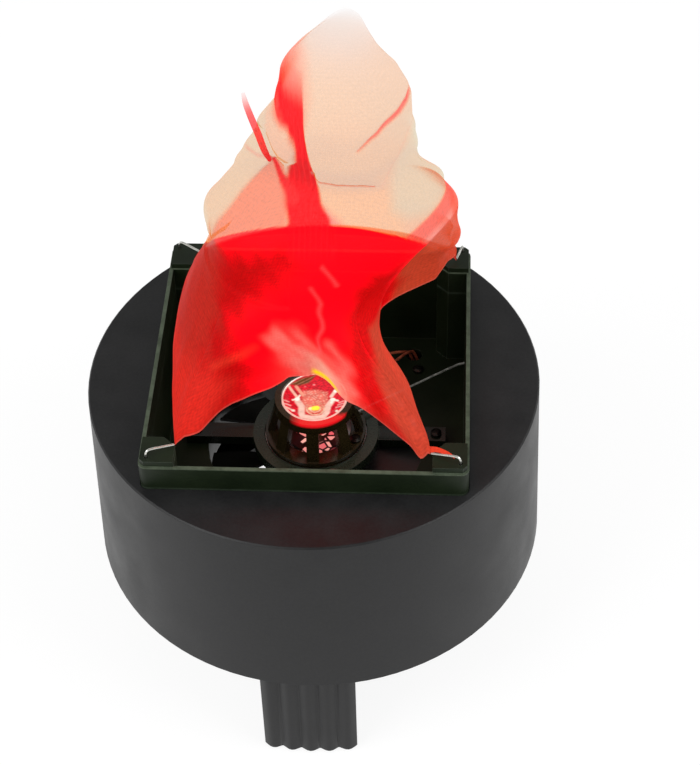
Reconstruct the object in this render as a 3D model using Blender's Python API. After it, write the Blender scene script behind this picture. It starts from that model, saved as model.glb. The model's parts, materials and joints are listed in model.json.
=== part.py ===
"""Silk flame effect light: a round fan-and-lamp housing on three fluted legs, with a square tray on
top whose four corner posts hold a blown sheet of silk over a red lamp.

Metres, +Z up, origin on the floor under the middle of the housing. The front, -Y, is the side with
one leg. The fan rotor turns about Z, and the rocker switch at the back tilts about X.
"""
import math

import bmesh
import bpy
import numpy as np
from mathutils import Matrix, Vector

MM = 0.001
GAP = 0.3 * MM

# Housing
DRUM_RADIUS = 115 * MM
DRUM_HEIGHT = 104 * MM
DRUM_FLARE = 3.6 * MM
DRUM_WALL = 2.5 * MM
DRUM_TOP_THICK = 3 * MM
DRUM_EDGE = 0.8 * MM
DRUM_SIDES = 96
BASE_THICK = 3 * MM
LEG_HEIGHT = 62.5 * MM
PAD_PROUD = 1.5 * MM

# Legs: a curved block with five round flutes on its outer face
LEG_COUNT = 3
LEG_SETBACK = 2 * MM
LEG_FLUTES = 5
LEG_FLUTE_PITCH = 10.1 * MM
LEG_FLUTE_DEPTH = 2.2 * MM
LEG_DEPTH = 14 * MM
LEG_SCREW_DEPTH = 10 * MM
PAD_INSET = 3 * MM
PAD_THICK = 3 * MM

# Tray
TRAY_CORNER = 4 * MM
TRAY_CORNER_GAP = 1.7 * MM
TRAY_WALL = 2 * MM
TRAY_PROUD = 14.5 * MM
TRAY_DEPTH = 63.5 * MM
TRAY_FLOOR = 2 * MM
POST_WIDTH = 15.5 * MM
POST_CHAMFER = 6 * MM
POST_PROUD = 3.5 * MM
TRAY_LUG_LENGTH = 12 * MM
TRAY_LUG_WIDTH = 14 * MM
TRAY_LUG_THICK = 4 * MM
TRAY_BOSS_DROP = 4.5 * MM

# Fan
FAN_HALF = 60 * MM
FAN_HEIGHT = 25 * MM
FAN_CORNER = 4 * MM
FAN_DUCT_RADIUS = 58 * MM
FAN_HOLE_PITCH = 105 * MM
FLOOR_HOLE_RADIUS = 57 * MM
STRUT_WIDTH = 6 * MM
STRUT_THICK = 4 * MM
MOTOR_PLATE_RADIUS = 21 * MM
MOTOR_PLATE_THICK = 3 * MM
BEARING_TUBE_OUTER = 6.2 * MM
BEARING_TUBE_INNER = 4.2 * MM
BEARING_HEIGHT = 4 * MM
SHAFT_RADIUS = 1.5 * MM
HUB_RADIUS = 22.5 * MM
HUB_WALL = 1.5 * MM
HUB_HEIGHT = 16.7 * MM
HUB_DROP = 2 * MM
MAGNET_THICK = 1.2 * MM
MAGNET_HEIGHT = 12 * MM
STATOR_RADIUS = 18.3 * MM
STATOR_HEIGHT = 11 * MM
STATOR_POLE_COUNT = 4
BLADE_COUNT = 7
BLADE_TIP_GAP = 1.6 * MM
BLADE_THICK = 1.8 * MM
BLADE_SWEEP_DEG = 37
BLADE_RISE = 14 * MM

# Lamp head
BRACKET_OUTER = 33 * MM
BRACKET_INNER = 27 * MM
BRACKET_LEDGE = 23 * MM
BRACKET_HEIGHT = 6.7 * MM
BRACKET_LEDGE_THICK = 1.7 * MM
BRACKET_ARM_GAP = 9.5 * MM
BRACKET_ARM_WIDTH = 10 * MM
SINK_THICK = 4 * MM
SINK_FIN_DROP = 3.6 * MM
SINK_FIN_THICK = 1.6 * MM
SINK_FIN_COUNT = 7
BOARD_RADIUS = 16 * MM
BOARD_THICK = 1.6 * MM
EMITTER_RADIUS = 3.5 * MM
EMITTER_HEIGHT = 3 * MM
LENS_RADIUS = 17 * MM
LENS_FLANGE = 3 * MM
LENS_FOOT_RADIUS = 6.5 * MM
LENS_HEIGHT = 19.8 * MM
LENS_LIFT = 1 * MM
CAGE_WALL = 3.1 * MM
CAGE_LEDGE = 0.8 * MM
CAGE_BAND_HEIGHT = 6.3 * MM
CAGE_RING_THICK = 3 * MM
CAGE_RIB_COUNT = 8
CAGE_RIB_WIDTH = 6.4 * MM

# Rear panel, with the power inlet and the rocker switch
PANEL_HALF_WIDTH = 34 * MM
PANEL_HEIGHT = 35 * MM
PANEL_THICK = 2 * MM
PANEL_WINDOW_HALF = 29 * MM
PANEL_WINDOW_LOW = 6 * MM
PANEL_WINDOW_HEIGHT = 27 * MM
PANEL_FITTING_RISE = 19.5 * MM
INLET_X = -14 * MM
INLET_RADIUS = 5.5 * MM
INLET_LENGTH = 12 * MM
INLET_BORE = 3 * MM
INLET_FLANGE = 8 * MM
SWITCH_X = 14 * MM
SWITCH_WIDTH = 12 * MM
SWITCH_LENGTH = 18 * MM
SWITCH_DEPTH = 13 * MM
SWITCH_FLANGE = 1.5 * MM
SWITCH_WALL = 1 * MM
ROCKER_WIDTH = 8.8 * MM
ROCKER_LENGTH = 12 * MM
ROCKER_TILT_DEG = 10
ROCKER_PIN_RADIUS = 0.8 * MM

# Driver board, on the floor of the housing beside the fan
DRIVER_WALL_GAP = 13.5 * MM
DRIVER_WIDTH = 26 * MM
DRIVER_LENGTH = 56 * MM
DRIVER_LIFT = 6 * MM
DRIVER_POST_RADIUS = 3 * MM

# Fasteners
SCREW_RADIUS = 1.5 * MM
SCREW_HEAD_RADIUS = 2.9 * MM
SCREW_HEAD_HEIGHT = 1.8 * MM
SCREW_HOLE_RADIUS = 1.9 * MM
LUG_SIZE = 10 * MM
LUG_HEIGHT = 8 * MM
CLIP_WIRE_RADIUS = 0.6 * MM
CLIP_PIN_DEPTH = 8 * MM
LED_WIRE_RADIUS = 0.8 * MM
FLOOR_WIRE_HOLE = 4.5 * MM
SENSOR_WIRE_RADIUS = 0.6 * MM
SENSOR_HOLE_RADIUS = 2 * MM
SENSOR_HOLE_RISE = 12 * MM

# Silk: four corners held by the clips, an open arch between each two, and a blown flame above them
SILK_THICK = 1.2 * MM
SILK_TOP = 224 * MM
SILK_LIFT = 0.3 * MM
SILK_GATHER = 55 * MM
SILK_FOOT = 40 * MM
SILK_COLUMN_COUNT = 52
SILK_ROW_COUNT = 18
# Corners at the front right, rear right, rear left and front left, as percentages of a clip pin's
# distance from the middle
SILK_CORNERS = np.array(((81, -93), (95.5, 90), (-83.5, 93), (-82.5, -90)))
# Arches at the right, back, left and front. In the same percentages, how far each bows inward and
# how far it rises. Then where its middle lies, and how softly the bow leaves either end.
SILK_ARCHES = np.array(((44, 22.5, 1.18, 1.3, 3), (16, 34.5, 1, 1.2, 1.2), (-7.5, 10.5, 1, 1, 1),
                        (45, 26.5, 0.97, 1.8, 1.8)))
# The flame's cross-sections: heights as percentages of the tip's, and how far each one reaches to
# the left, right, front and back
SILK_LEVELS = (18, 28, 38.5, 47.5, 55.5, 60, 65, 71.5, 78.5, 85, 89.5, 94, 97.5, 100)
SILK_LEFT = (-74, -72, -65, -56, -40, -25, -17, -16, -16, -13, -5, 8, 18.5, 28)
SILK_RIGHT = (42, 48, 66, 82, 77, 68, 62, 66, 66, 60, 50, 42, 37, 28)
SILK_FRONT = (-50, -53, -49, -41, -28, -21, -29, -40, -40, -32, -23, -13, -7, 3)
SILK_BACK = (69, 66, 60, 52, 42, 39, 40, 42, 40, 32, 24, 16, 9, 3)
# Lobes that stand out sideways from the cross-sections: the direction in degrees, the half-width in
# radians, the heights, and how far the lobe stands out at each
SILK_LOBES = ((186, 0.45, (40, 47.5, 55.5, 62.5, 69, 74, 75.5, 77), (0, -5, -11, -20, -17, -13, -4, 0)),
              (8, 0.5, (38.5, 44.5, 52, 58, 64, 69, 73), (0, 2, 5, 12, 13, 4, 0)),
              (42, 0.62, (18, 28, 38.5, 47.5, 55.5, 62.5), (56, 58, 40, 16, 4, 0)))

# Heights that follow
DRUM_BOTTOM = PAD_PROUD + LEG_HEIGHT
DRUM_TOP = DRUM_BOTTOM + DRUM_HEIGHT
BASE_TOP = DRUM_BOTTOM + BASE_THICK
DRUM_INNER = DRUM_RADIUS - DRUM_WALL
FOOT_RADIUS = DRUM_RADIUS + DRUM_FLARE
FOOT_INNER = FOOT_RADIUS - DRUM_WALL
FLARE_SLOPE = DRUM_FLARE / (DRUM_HEIGHT - DRUM_TOP_THICK)
BASE_RADIUS = FOOT_INNER - GAP
TRAY_HALF = (DRUM_INNER - TRAY_CORNER_GAP - TRAY_CORNER) / math.sqrt(2) + TRAY_CORNER
TRAY_RIM = DRUM_TOP + TRAY_PROUD
TRAY_FLOOR_TOP = TRAY_RIM - TRAY_DEPTH
TRAY_BOTTOM = TRAY_FLOOR_TOP - TRAY_FLOOR
TRAY_INNER = TRAY_HALF - TRAY_WALL
BRACKET_ARM_REACH = TRAY_INNER - BRACKET_ARM_GAP
DRIVER_X = DRUM_INNER - DRIVER_WALL_GAP - DRIVER_WIDTH / 2
POST_TOP = TRAY_RIM + POST_PROUD
FAN_TOP = TRAY_BOTTOM - GAP
FAN_BOTTOM = FAN_TOP - FAN_HEIGHT
MOTOR_PLATE_TOP = FAN_BOTTOM + MOTOR_PLATE_THICK
HUB_TOP = FAN_TOP - HUB_DROP
HUB_BOTTOM = HUB_TOP - HUB_HEIGHT
HUB_CEILING = HUB_TOP - HUB_WALL
BEARING_TUBE_TOP = HUB_CEILING - 2 * MM
BRACKET_BOTTOM = TRAY_FLOOR_TOP + GAP
BRACKET_TOP = BRACKET_BOTTOM + BRACKET_HEIGHT
SINK_BOTTOM = BRACKET_BOTTOM + BRACKET_LEDGE_THICK + GAP
SINK_TOP = SINK_BOTTOM + SINK_THICK
SINK_RADIUS = BRACKET_INNER - 0.4 * MM
BOARD_BOTTOM = SINK_TOP + GAP
BOARD_TOP = BOARD_BOTTOM + BOARD_THICK
EMITTER_BOTTOM = BOARD_TOP + GAP
EMITTER_TOP = EMITTER_BOTTOM + EMITTER_HEIGHT
LENS_BOTTOM = EMITTER_TOP + LENS_LIFT
LENS_TOP = LENS_BOTTOM + LENS_HEIGHT
CAGE_BORE = LENS_RADIUS + 0.4 * MM
CAGE_TOP = LENS_TOP + GAP
CAGE_BAND_BOTTOM = CAGE_TOP - CAGE_BAND_HEIGHT
CAGE_SCREW_RING = BRACKET_LEDGE - 0.2 * MM
PANEL_WALL = FOOT_INNER - FLARE_SLOPE * (BASE_THICK + PANEL_HEIGHT)
PANEL_FRONT = math.sqrt(PANEL_WALL ** 2 - (PANEL_HALF_WIDTH + MM) ** 2) - GAP
FITTING_Z = BASE_TOP + PANEL_FITTING_RISE
BASE_LUG_LOW = BASE_TOP + GAP


def clear_scene():
    for obj in list(bpy.data.objects):
        bpy.data.objects.remove(obj, do_unlink=True)


def finish_of(name, colour, roughness, metallic=0.0):
    """A Principled material in one colour."""
    made = bpy.data.materials.new(name)
    made.use_nodes = True
    shader = made.node_tree.nodes["Principled BSDF"]
    shader.inputs["Base Color"].default_value = (*colour, 1.0)
    shader.inputs["Roughness"].default_value = roughness
    shader.inputs["Metallic"].default_value = metallic
    made.diffuse_color = (*colour, 1.0)
    return made


def add_mesh(name, points, faces, finish=None):
    """One object from points and faces, its faces turned outwards."""
    mesh = bpy.data.meshes.new(name)
    mesh.from_pydata([tuple(p) for p in points], [], faces)
    bm = bmesh.new()
    bm.from_mesh(mesh)
    bmesh.ops.recalc_face_normals(bm, faces=bm.faces)
    bm.to_mesh(mesh)
    bm.free()
    mesh.shade_smooth()
    mesh.set_sharp_from_angle(angle=math.radians(35))
    obj = bpy.data.objects.new(name, mesh)
    bpy.context.scene.collection.objects.link(obj)
    if finish:
        mesh.materials.append(finish)
    return obj


def place(obj, location=(0, 0, 0), turn=0.0):
    """Moves an object to its place, turned about Z by an angle in radians."""
    obj.location = location
    obj.rotation_euler = (0, 0, turn)
    return obj


def turned(name, profile, sides, finish=None):
    """A solid of revolution about Z from (radius, height) points. A profile that starts and ends on
    the axis makes a solid piece with flat ends, and any other closes on itself and makes a ring."""
    on_axis = profile[0][0] == 0 and profile[-1][0] == 0
    ring = profile[1:-1] if on_axis else profile
    angles = [2 * math.pi * k / sides for k in range(sides)]
    points = [(r * math.cos(a), r * math.sin(a), z) for a in angles for r, z in ring]
    rows = len(ring)
    faces = []
    for k in range(sides):
        here, there = k * rows, (k + 1) % sides * rows
        for j in range(rows - 1 if on_axis else rows):
            up = (j + 1) % rows
            faces.append((here + j, there + j, there + up, here + up))
    if on_axis:
        faces.append(tuple(range(0, len(points), rows)))
        faces.append(tuple(range(rows - 1, len(points), rows)))
    return add_mesh(name, points, faces, finish)


def rod(name, radius, low, high, sides=16, finish=None):
    """A round bar along Z."""
    return turned(name, [(0, high), (radius, high), (radius, low), (0, low)], sides, finish)


def tube(name, outer, inner, low, high, sides=24, finish=None):
    """A round tube along Z."""
    return turned(name, [(outer, low), (outer, high), (inner, high), (inner, low)], sides, finish)


def prism(name, outline, low, high, finish=None):
    """An outline in X and Y, carried from one height to another."""
    count = len(outline)
    points = [(x, y, low) for x, y in outline] + [(x, y, high) for x, y in outline]
    sides = [(k, (k + 1) % count, count + (k + 1) % count, count + k) for k in range(count)]
    return add_mesh(name, points, [tuple(range(count)), tuple(range(count, 2 * count)), *sides], finish)


def block(name, low, high, finish=None):
    """A box between two corners."""
    outline = [(low[0], low[1]), (high[0], low[1]), (high[0], high[1]), (low[0], high[1])]
    return prism(name, outline, low[2], high[2], finish)


def sector(inner, outer, half, steps):
    """The outline of a piece of a ring, half an angle to each side of the X axis."""
    arc = [half * (2 * k / steps - 1) for k in range(steps + 1)]
    return [polar(outer, a)[:2] for a in arc] + [polar(inner, a)[:2] for a in reversed(arc)]


def rounded_square(half, radius, steps=4):
    """The outline of a square about the origin with round corners."""
    outline = []
    for quarter in range(4):
        sx, sy = ((1, 1), (-1, 1), (-1, -1), (1, -1))[quarter]
        for k in range(steps + 1):
            x, y, _ = polar(radius, math.pi / 2 * (quarter + k / steps))
            outline.append((sx * (half - radius) + x, sy * (half - radius) + y))
    return outline


def helper(obj):
    """Keeps a cutter or an added shape out of the renders."""
    obj.hide_render = True
    obj.display_type = "WIRE"
    return obj


def combine(obj, other, operation):
    change = obj.modifiers.new(other.name, "BOOLEAN")
    change.operation = operation
    change.object = helper(other)
    change.solver = "EXACT"
    return obj


def cut(obj, *cutters):
    for cutter in cutters:
        combine(obj, cutter, "DIFFERENCE")
    return obj


def fuse(obj, *others):
    for other in others:
        combine(obj, other, "UNION")
    return obj


def around(count, start_deg=0.0):
    """Evenly spaced angles in radians."""
    return [math.radians(start_deg) + 2 * math.pi * k / count for k in range(count)]


def polar(radius, angle, height=0.0):
    return (radius * math.cos(angle), radius * math.sin(angle), height)


def screw(name, place_at, length, finish, head_down=False):
    """A pan-head screw. place_at is the middle of the face under its head, and the shank runs away
    from the head, down or, with head_down, up."""
    dome = 0.6 * SCREW_HEAD_HEIGHT
    profile = [(0, SCREW_HEAD_HEIGHT), (0.55 * SCREW_HEAD_RADIUS, SCREW_HEAD_HEIGHT),
               (SCREW_HEAD_RADIUS, dome), (SCREW_HEAD_RADIUS, 0), (SCREW_RADIUS, 0),
               (SCREW_RADIUS, -length), (0, -length)]
    obj = turned(name, profile, 10, finish)
    obj.location = place_at
    if head_down:
        obj.rotation_euler = (math.pi, 0, 0)
    return obj


def wire(name, route, radius, finish, sides=2):
    """A round wire along a smooth curve through hand-chosen points."""
    data = bpy.data.curves.new(name, "CURVE")
    data.dimensions = "3D"
    data.bevel_depth = radius
    data.bevel_resolution = sides
    data.use_fill_caps = True
    line = data.splines.new("POLY")
    points = smooth_route(route)
    line.points.add(len(points) - 1)
    for spot, p in zip(line.points, points):
        spot.co = (*p, 1.0)
    obj = bpy.data.objects.new(name, data)
    data.materials.append(finish)
    bpy.context.scene.collection.objects.link(obj)
    return obj


def smooth_route(route, steps=3):
    """Points on the Catmull-Rom curve through a route, a few to each stretch."""
    spots = [Vector(spot) for spot in route]
    ends = [2 * spots[0] - spots[1], *spots, 2 * spots[-1] - spots[-2]]
    points = []
    for a, b, c, d in zip(ends, ends[1:], ends[2:], ends[3:]):
        for k in range(steps):
            t = k / steps
            points.append(0.5 * (2 * b + (c - a) * t + (2 * a - 5 * b + 4 * c - d) * t ** 2
                                 + (3 * b - a - 3 * c + d) * t ** 3))
    return [*points, spots[-1]]


def make_finishes():
    return {
        "shell": finish_of("matt_black_abs", (0.028, 0.029, 0.031), 0.55),
        "tray": finish_of("satin_black_abs", (0.012, 0.016, 0.012), 0.42),
        "fan": finish_of("fan_black", (0.018, 0.018, 0.019), 0.4),
        "cage": finish_of("lamp_black", (0.014, 0.013, 0.011), 0.3),
        "steel": finish_of("zinc_screw", (0.46, 0.46, 0.44), 0.35, 1.0),
        "aluminium": finish_of("sink_aluminium", (0.55, 0.56, 0.57), 0.4, 1.0),
        "copper": finish_of("motor_copper", (0.6, 0.26, 0.12), 0.35, 1.0),
        "magnet": finish_of("magnet_ferrite", (0.07, 0.06, 0.055), 0.7),
        "board": finish_of("board_green", (0.02, 0.13, 0.05), 0.45),
        "lens": finish_of("lens_clear", (0.93, 0.3, 0.3), 0.05),
        "emitter": finish_of("emitter_yellow", (0.95, 0.78, 0.2), 0.3),
        "rubber": finish_of("foot_rubber", (0.02, 0.02, 0.02), 0.85),
        "red_wire": finish_of("wire_red", (0.5, 0.1, 0.05), 0.45),
        "grey_wire": finish_of("wire_grey", (0.35, 0.35, 0.32), 0.5),
        "component": finish_of("component_dark", (0.05, 0.05, 0.07), 0.4),
        "silk": finish_of("silk_cloth", (0.85, 0.1, 0.06), 0.6),
    }


def make_drum(finish):
    """The one-piece round housing: a wall that widens a little to its foot, a top with a square
    opening, bosses under it for the tray, lugs at the foot for the base, and a window at the back."""
    outside = [(0, DRUM_TOP), (DRUM_RADIUS - DRUM_EDGE, DRUM_TOP), (DRUM_RADIUS, DRUM_TOP - DRUM_EDGE)]
    foot = [(FOOT_RADIUS, DRUM_BOTTOM), (FOOT_INNER, DRUM_BOTTOM)]
    ceiling = DRUM_TOP - DRUM_TOP_THICK
    drum = turned("drum_housing", [*outside, *foot, (DRUM_INNER, ceiling), (0, ceiling)], DRUM_SIDES, finish)
    opening = rounded_square(TRAY_HALF + GAP, TRAY_CORNER + GAP)
    cut(drum, prism("tray_opening", opening, ceiling - MM, DRUM_TOP + MM))
    for k, angle in enumerate(around(4)):
        boss = rod(f"tray_boss_{k}", SCREW_RADIUS + 2.5 * MM, ceiling - TRAY_BOSS_DROP, ceiling + MM)
        pilot = rod(f"tray_pilot_{k}", SCREW_HOLE_RADIUS, ceiling - TRAY_BOSS_DROP - MM, ceiling + MM)
        spot = polar(TRAY_SCREW_RADIUS, angle)
        fuse(drum, place(boss, spot))
        cut(drum, place(pilot, spot))
    for k, angle in enumerate(BASE_SCREW_ANGLES):
        lug = block(f"base_lug_{k}", (FOOT_INNER - LUG_SIZE, -LUG_SIZE / 2, BASE_LUG_LOW),
                    (FOOT_INNER + DRUM_WALL / 2, LUG_SIZE / 2, BASE_LUG_LOW + LUG_HEIGHT))
        fuse(drum, place(lug, turn=angle))
        pilot = rod(f"base_pilot_{k}", SCREW_HOLE_RADIUS, BASE_LUG_LOW - MM, BASE_LUG_LOW + LUG_HEIGHT - MM)
        cut(drum, place(pilot, polar(BASE_SCREW_RADIUS, angle)))
    low = BASE_TOP + PANEL_WINDOW_LOW
    window = block("panel_window", (-PANEL_WINDOW_HALF, DRUM_INNER * 0.8, low),
                   (PANEL_WINDOW_HALF, FOOT_RADIUS + MM, low + PANEL_WINDOW_HEIGHT))
    return cut(drum, window)


def make_base(finish):
    """The floor of the housing: a disc with rings of air slots under the fan, screw holes for the legs
    and the lugs, posts for the driver board, and an upright panel at the back."""
    edge = [(BASE_RADIUS - FLARE_SLOPE * BASE_THICK, BASE_TOP), (BASE_RADIUS, DRUM_BOTTOM)]
    base = turned("base_plate", [(0, BASE_TOP), *edge, (0, DRUM_BOTTOM)], DRUM_SIDES, finish)
    for ring, (inner, outer) in enumerate(AIR_SLOTS):
        for k, angle in enumerate(around(AIR_SLOT_COUNT, 7 + 30 * ring)):
            half = math.pi / AIR_SLOT_COUNT - AIR_RIB / (inner + outer)
            outline = sector(inner, outer, half, 4)
            slot = prism(f"air_slot_{ring}_{k}", outline, DRUM_BOTTOM - MM, BASE_TOP + MM)
            cut(base, place(slot, turn=angle))
    panel = block("rear_panel", (-PANEL_HALF_WIDTH, PANEL_FRONT - PANEL_THICK, BASE_TOP - MM),
                  (PANEL_HALF_WIDTH, PANEL_FRONT, BASE_TOP + PANEL_HEIGHT))
    fuse(base, panel)
    cut(base, across("inlet_hole", INLET_RADIUS + GAP, PANEL_FRONT - PANEL_THICK - MM, PANEL_FRONT + MM, INLET_X))
    reach = (SWITCH_WIDTH / 2 + GAP, SWITCH_LENGTH / 2 + GAP)
    cut(base, block("switch_hole", (SWITCH_X - reach[0], PANEL_FRONT - PANEL_THICK - MM, FITTING_Z - reach[1]),
                    (SWITCH_X + reach[0], PANEL_FRONT + MM, FITTING_Z + reach[1])))
    for k, y in enumerate(DRIVER_SCREW_YS):
        post = rod(f"driver_post_{k}", DRIVER_POST_RADIUS, BASE_TOP - MM, BASE_TOP + DRIVER_LIFT)
        pilot = rod(f"driver_pilot_{k}", SCREW_HOLE_RADIUS, BASE_TOP + MM, BASE_TOP + DRIVER_LIFT + MM)
        fuse(base, place(post, (DRIVER_X, y, 0)))
        cut(base, place(pilot, (DRIVER_X, y, 0)))
    spots = [polar(BASE_SCREW_RADIUS, a) for a in BASE_SCREW_ANGLES]
    spots += [polar(LEG_SCREW_RADIUS, a) for a in LEG_ANGLES]
    for k, spot in enumerate(spots):
        hole = rod(f"base_hole_{k}", SCREW_HOLE_RADIUS, DRUM_BOTTOM - MM, BASE_TOP + MM)
        cut(base, place(hole, spot))
    return base


def across(name, radius, low, high, x, sides=24, finish=None):
    """A round bar along Y at the height of the rear panel's fittings."""
    bar = rod(name, radius, low, high, sides, finish)
    bar.data.transform(Matrix.Rotation(-math.pi / 2, 4, "X"))
    return place(bar, (x, 0, FITTING_Z))


def leg_outline(inset=0.0):
    """The plan of a leg that points along +X: soft waves outside, a plain arc inside."""
    face = LEG_FACE_RADIUS - inset
    half = (LEG_FLUTES * LEG_FLUTE_PITCH / 2 - inset) / LEG_FACE_RADIUS
    outline = []
    steps = LEG_FLUTES * 6
    for k in range(steps + 1):
        share = k / steps
        dip = LEG_FLUTE_DEPTH * (1 - abs(math.sin(math.pi * LEG_FLUTES * share)) ** 1.2)
        outline.append(polar(face - dip, half * (2 * share - 1))[:2])
    back = LEG_FACE_RADIUS - LEG_DEPTH + inset
    return outline + [polar(back, half * (1 - 2 * k / 6))[:2] for k in range(7)]


def make_leg(name, angle, finish):
    """A fluted leg under the rim, with a screw hole in its top and a seat for its pad."""
    top = DRUM_BOTTOM - GAP
    leg = prism(name, leg_outline(), PAD_PROUD, top, finish)
    hole = rod(name + "_hole", SCREW_HOLE_RADIUS, top - LEG_SCREW_DEPTH, top + MM)
    hole.data.transform(Matrix.Translation((LEG_SCREW_RADIUS, 0, 0)))
    recess = prism(name + "_pad_seat", leg_outline(PAD_INSET - 2 * GAP), PAD_PROUD - MM, PAD_TOP + GAP)
    cut(leg, hole, recess)
    return [place(obj, turn=angle) for obj in (leg, *[m.object for m in leg.modifiers])][0]


def make_pad(name, angle, finish):
    """The rubber foot let into the underside of a leg."""
    return place(prism(name, leg_outline(PAD_INSET), 0, PAD_TOP, finish), turn=angle)


def make_tray(finish):
    """The square tray: thin walls, a floor with a round hole over the fan, four corner posts, and
    four lugs that hang it from the housing's bosses."""
    tray = prism("flame_tray", rounded_square(TRAY_HALF, TRAY_CORNER), TRAY_BOTTOM, TRAY_RIM, finish)
    inside = rounded_square(TRAY_INNER, TRAY_CORNER - TRAY_WALL)
    cut(tray, prism("tray_inside", inside, TRAY_FLOOR_TOP, TRAY_RIM + MM))
    cut(tray, rod("tray_fan_hole", FLOOR_HOLE_RADIUS, TRAY_BOTTOM - MM, TRAY_FLOOR_TOP + MM, 48))
    near = TRAY_INNER - POST_WIDTH
    far = TRAY_INNER + TRAY_WALL / 2
    outline = [(near, far), (near, near + POST_CHAMFER), (near + POST_CHAMFER, near), (far, near),
               (far, far - TRAY_CORNER / 2), (far - TRAY_CORNER / 2, far)]
    for k, angle in enumerate(around(4)):
        post = prism(f"corner_post_{k}", outline, TRAY_BOTTOM + TRAY_FLOOR / 2, POST_TOP)
        hole = rod(f"clip_hole_{k}", CLIP_WIRE_RADIUS + 1.3 * GAP, POST_TOP - CLIP_PIN_DEPTH - MM,
                   POST_TOP + MM, 12)
        hole.data.transform(Matrix.Translation((CLIP_PIN, CLIP_PIN, 0)))
        fuse(tray, place(post, turn=angle))
        cut(tray, place(hole, turn=angle))
        lug = block(f"tray_lug_{k}", (TRAY_HALF - TRAY_WALL / 2, -TRAY_LUG_WIDTH / 2, TRAY_LUG_BOTTOM),
                    (TRAY_HALF + TRAY_LUG_LENGTH, TRAY_LUG_WIDTH / 2, TRAY_LUG_TOP))
        bore = rod(f"tray_lug_hole_{k}", SCREW_HOLE_RADIUS, TRAY_LUG_BOTTOM - MM, TRAY_LUG_TOP + MM)
        fuse(tray, place(lug, turn=angle))
        cut(tray, place(bore, polar(TRAY_SCREW_RADIUS, angle)))
    for k, angle in enumerate(around(4, 45)):
        hole = rod(f"tray_fan_screw_hole_{k}", SCREW_HOLE_RADIUS, TRAY_BOTTOM - MM, TRAY_FLOOR_TOP + MM)
        cut(tray, place(hole, polar(FAN_HOLE_PITCH / math.sqrt(2), angle)))
    for k, angle in enumerate(BRACKET_SCREW_ANGLES):
        hole = rod(f"tray_bracket_hole_{k}", SCREW_HOLE_RADIUS, TRAY_BOTTOM - MM, TRAY_FLOOR_TOP + MM)
        cut(tray, place(hole, polar(BRACKET_SCREW_RADIUS, angle)))
    hole = rod("wire_hole", FLOOR_WIRE_HOLE, TRAY_BOTTOM - MM, TRAY_FLOOR_TOP + MM)
    cut(tray, place(hole, (*WIRE_HOLE, 0)))
    hole = rod("sensor_hole", SENSOR_HOLE_RADIUS, TRAY_INNER - MM, TRAY_HALF + MM)
    hole.data.transform(Matrix.Rotation(math.pi / 2, 4, "Y"))
    cut(tray, place(hole, (0, *SENSOR_HOLE)))
    return tray


def make_clip(name, side, finish):
    """A bent wire whose pin stands in a post and whose finger reaches in to a corner of the silk."""
    corner = CLIP_PIN * SILK_CORNERS[side] / 100
    pin = CLIP_PIN * np.sign(corner)
    reach = (corner - pin) * (1 - GAP / np.linalg.norm(corner - pin))
    finger = POST_TOP + SILK_LIFT + CLIP_WIRE_RADIUS + GAP
    stages = ((0, POST_TOP - CLIP_PIN_DEPTH), (0, POST_TOP), (0.03, finger + 1.6 * MM), (0.16, finger + 2.8 * MM),
              (0.6, finger + 1.4 * MM), (1, finger))
    return wire(name, [(*(pin + reach * share), z) for share, z in stages], CLIP_WIRE_RADIUS, finish)


def make_fan_frame(finish):
    """A square axial fan frame: a round duct, a motor plate on four struts and a bearing tube."""
    frame = prism("fan_frame", rounded_square(FAN_HALF, FAN_CORNER), FAN_BOTTOM, FAN_TOP, finish)
    cut(frame, rod("fan_duct", FAN_DUCT_RADIUS, FAN_BOTTOM - MM, FAN_TOP + MM, 64))
    plate = rod("motor_plate", MOTOR_PLATE_RADIUS, FAN_BOTTOM, MOTOR_PLATE_TOP, 32)
    for k, angle in enumerate(around(4, 45)):
        strut = block(f"strut_{k}", (MOTOR_PLATE_RADIUS - 3 * MM, -STRUT_WIDTH / 2, FAN_BOTTOM + 0.5 * MM),
                      (FAN_DUCT_RADIUS + 2 * MM, STRUT_WIDTH / 2, FAN_BOTTOM + STRUT_THICK))
        fuse(frame, place(strut, turn=angle))
    fuse(frame, plate)
    fuse(frame, tube("bearing_tube", BEARING_TUBE_OUTER, BEARING_TUBE_INNER,
                     MOTOR_PLATE_TOP - MM, BEARING_TUBE_TOP))
    for k, angle in enumerate(around(4, 45)):
        hole = rod(f"frame_hole_{k}", SCREW_HOLE_RADIUS, FAN_BOTTOM - MM, FAN_TOP + MM)
        cut(frame, place(hole, polar(FAN_HOLE_PITCH / math.sqrt(2), angle)))
    return frame


def make_rotor(finish):
    """A cup-shaped hub with seven pitched blades on it."""
    boss = SHAFT_RADIUS + 2.5 * MM
    socket = SHAFT_RADIUS + GAP
    inside = HUB_RADIUS - HUB_WALL
    profile = [(0, HUB_TOP), (HUB_RADIUS - MM, HUB_TOP), (HUB_RADIUS, HUB_TOP - MM), (HUB_RADIUS, HUB_BOTTOM),
               (inside, HUB_BOTTOM), (inside, HUB_CEILING), (boss, HUB_CEILING), (boss, HUB_CEILING - MM),
               (socket, HUB_CEILING - MM), (socket, HUB_CEILING + 0.5 * MM), (0, HUB_CEILING + 0.5 * MM)]
    rotor = turned("fan_rotor", profile, 32, finish)
    points, faces = [], []
    for angle in around(BLADE_COUNT):
        blade(points, faces, angle)
    return fuse(rotor, add_mesh("blades", points, faces))


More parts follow.
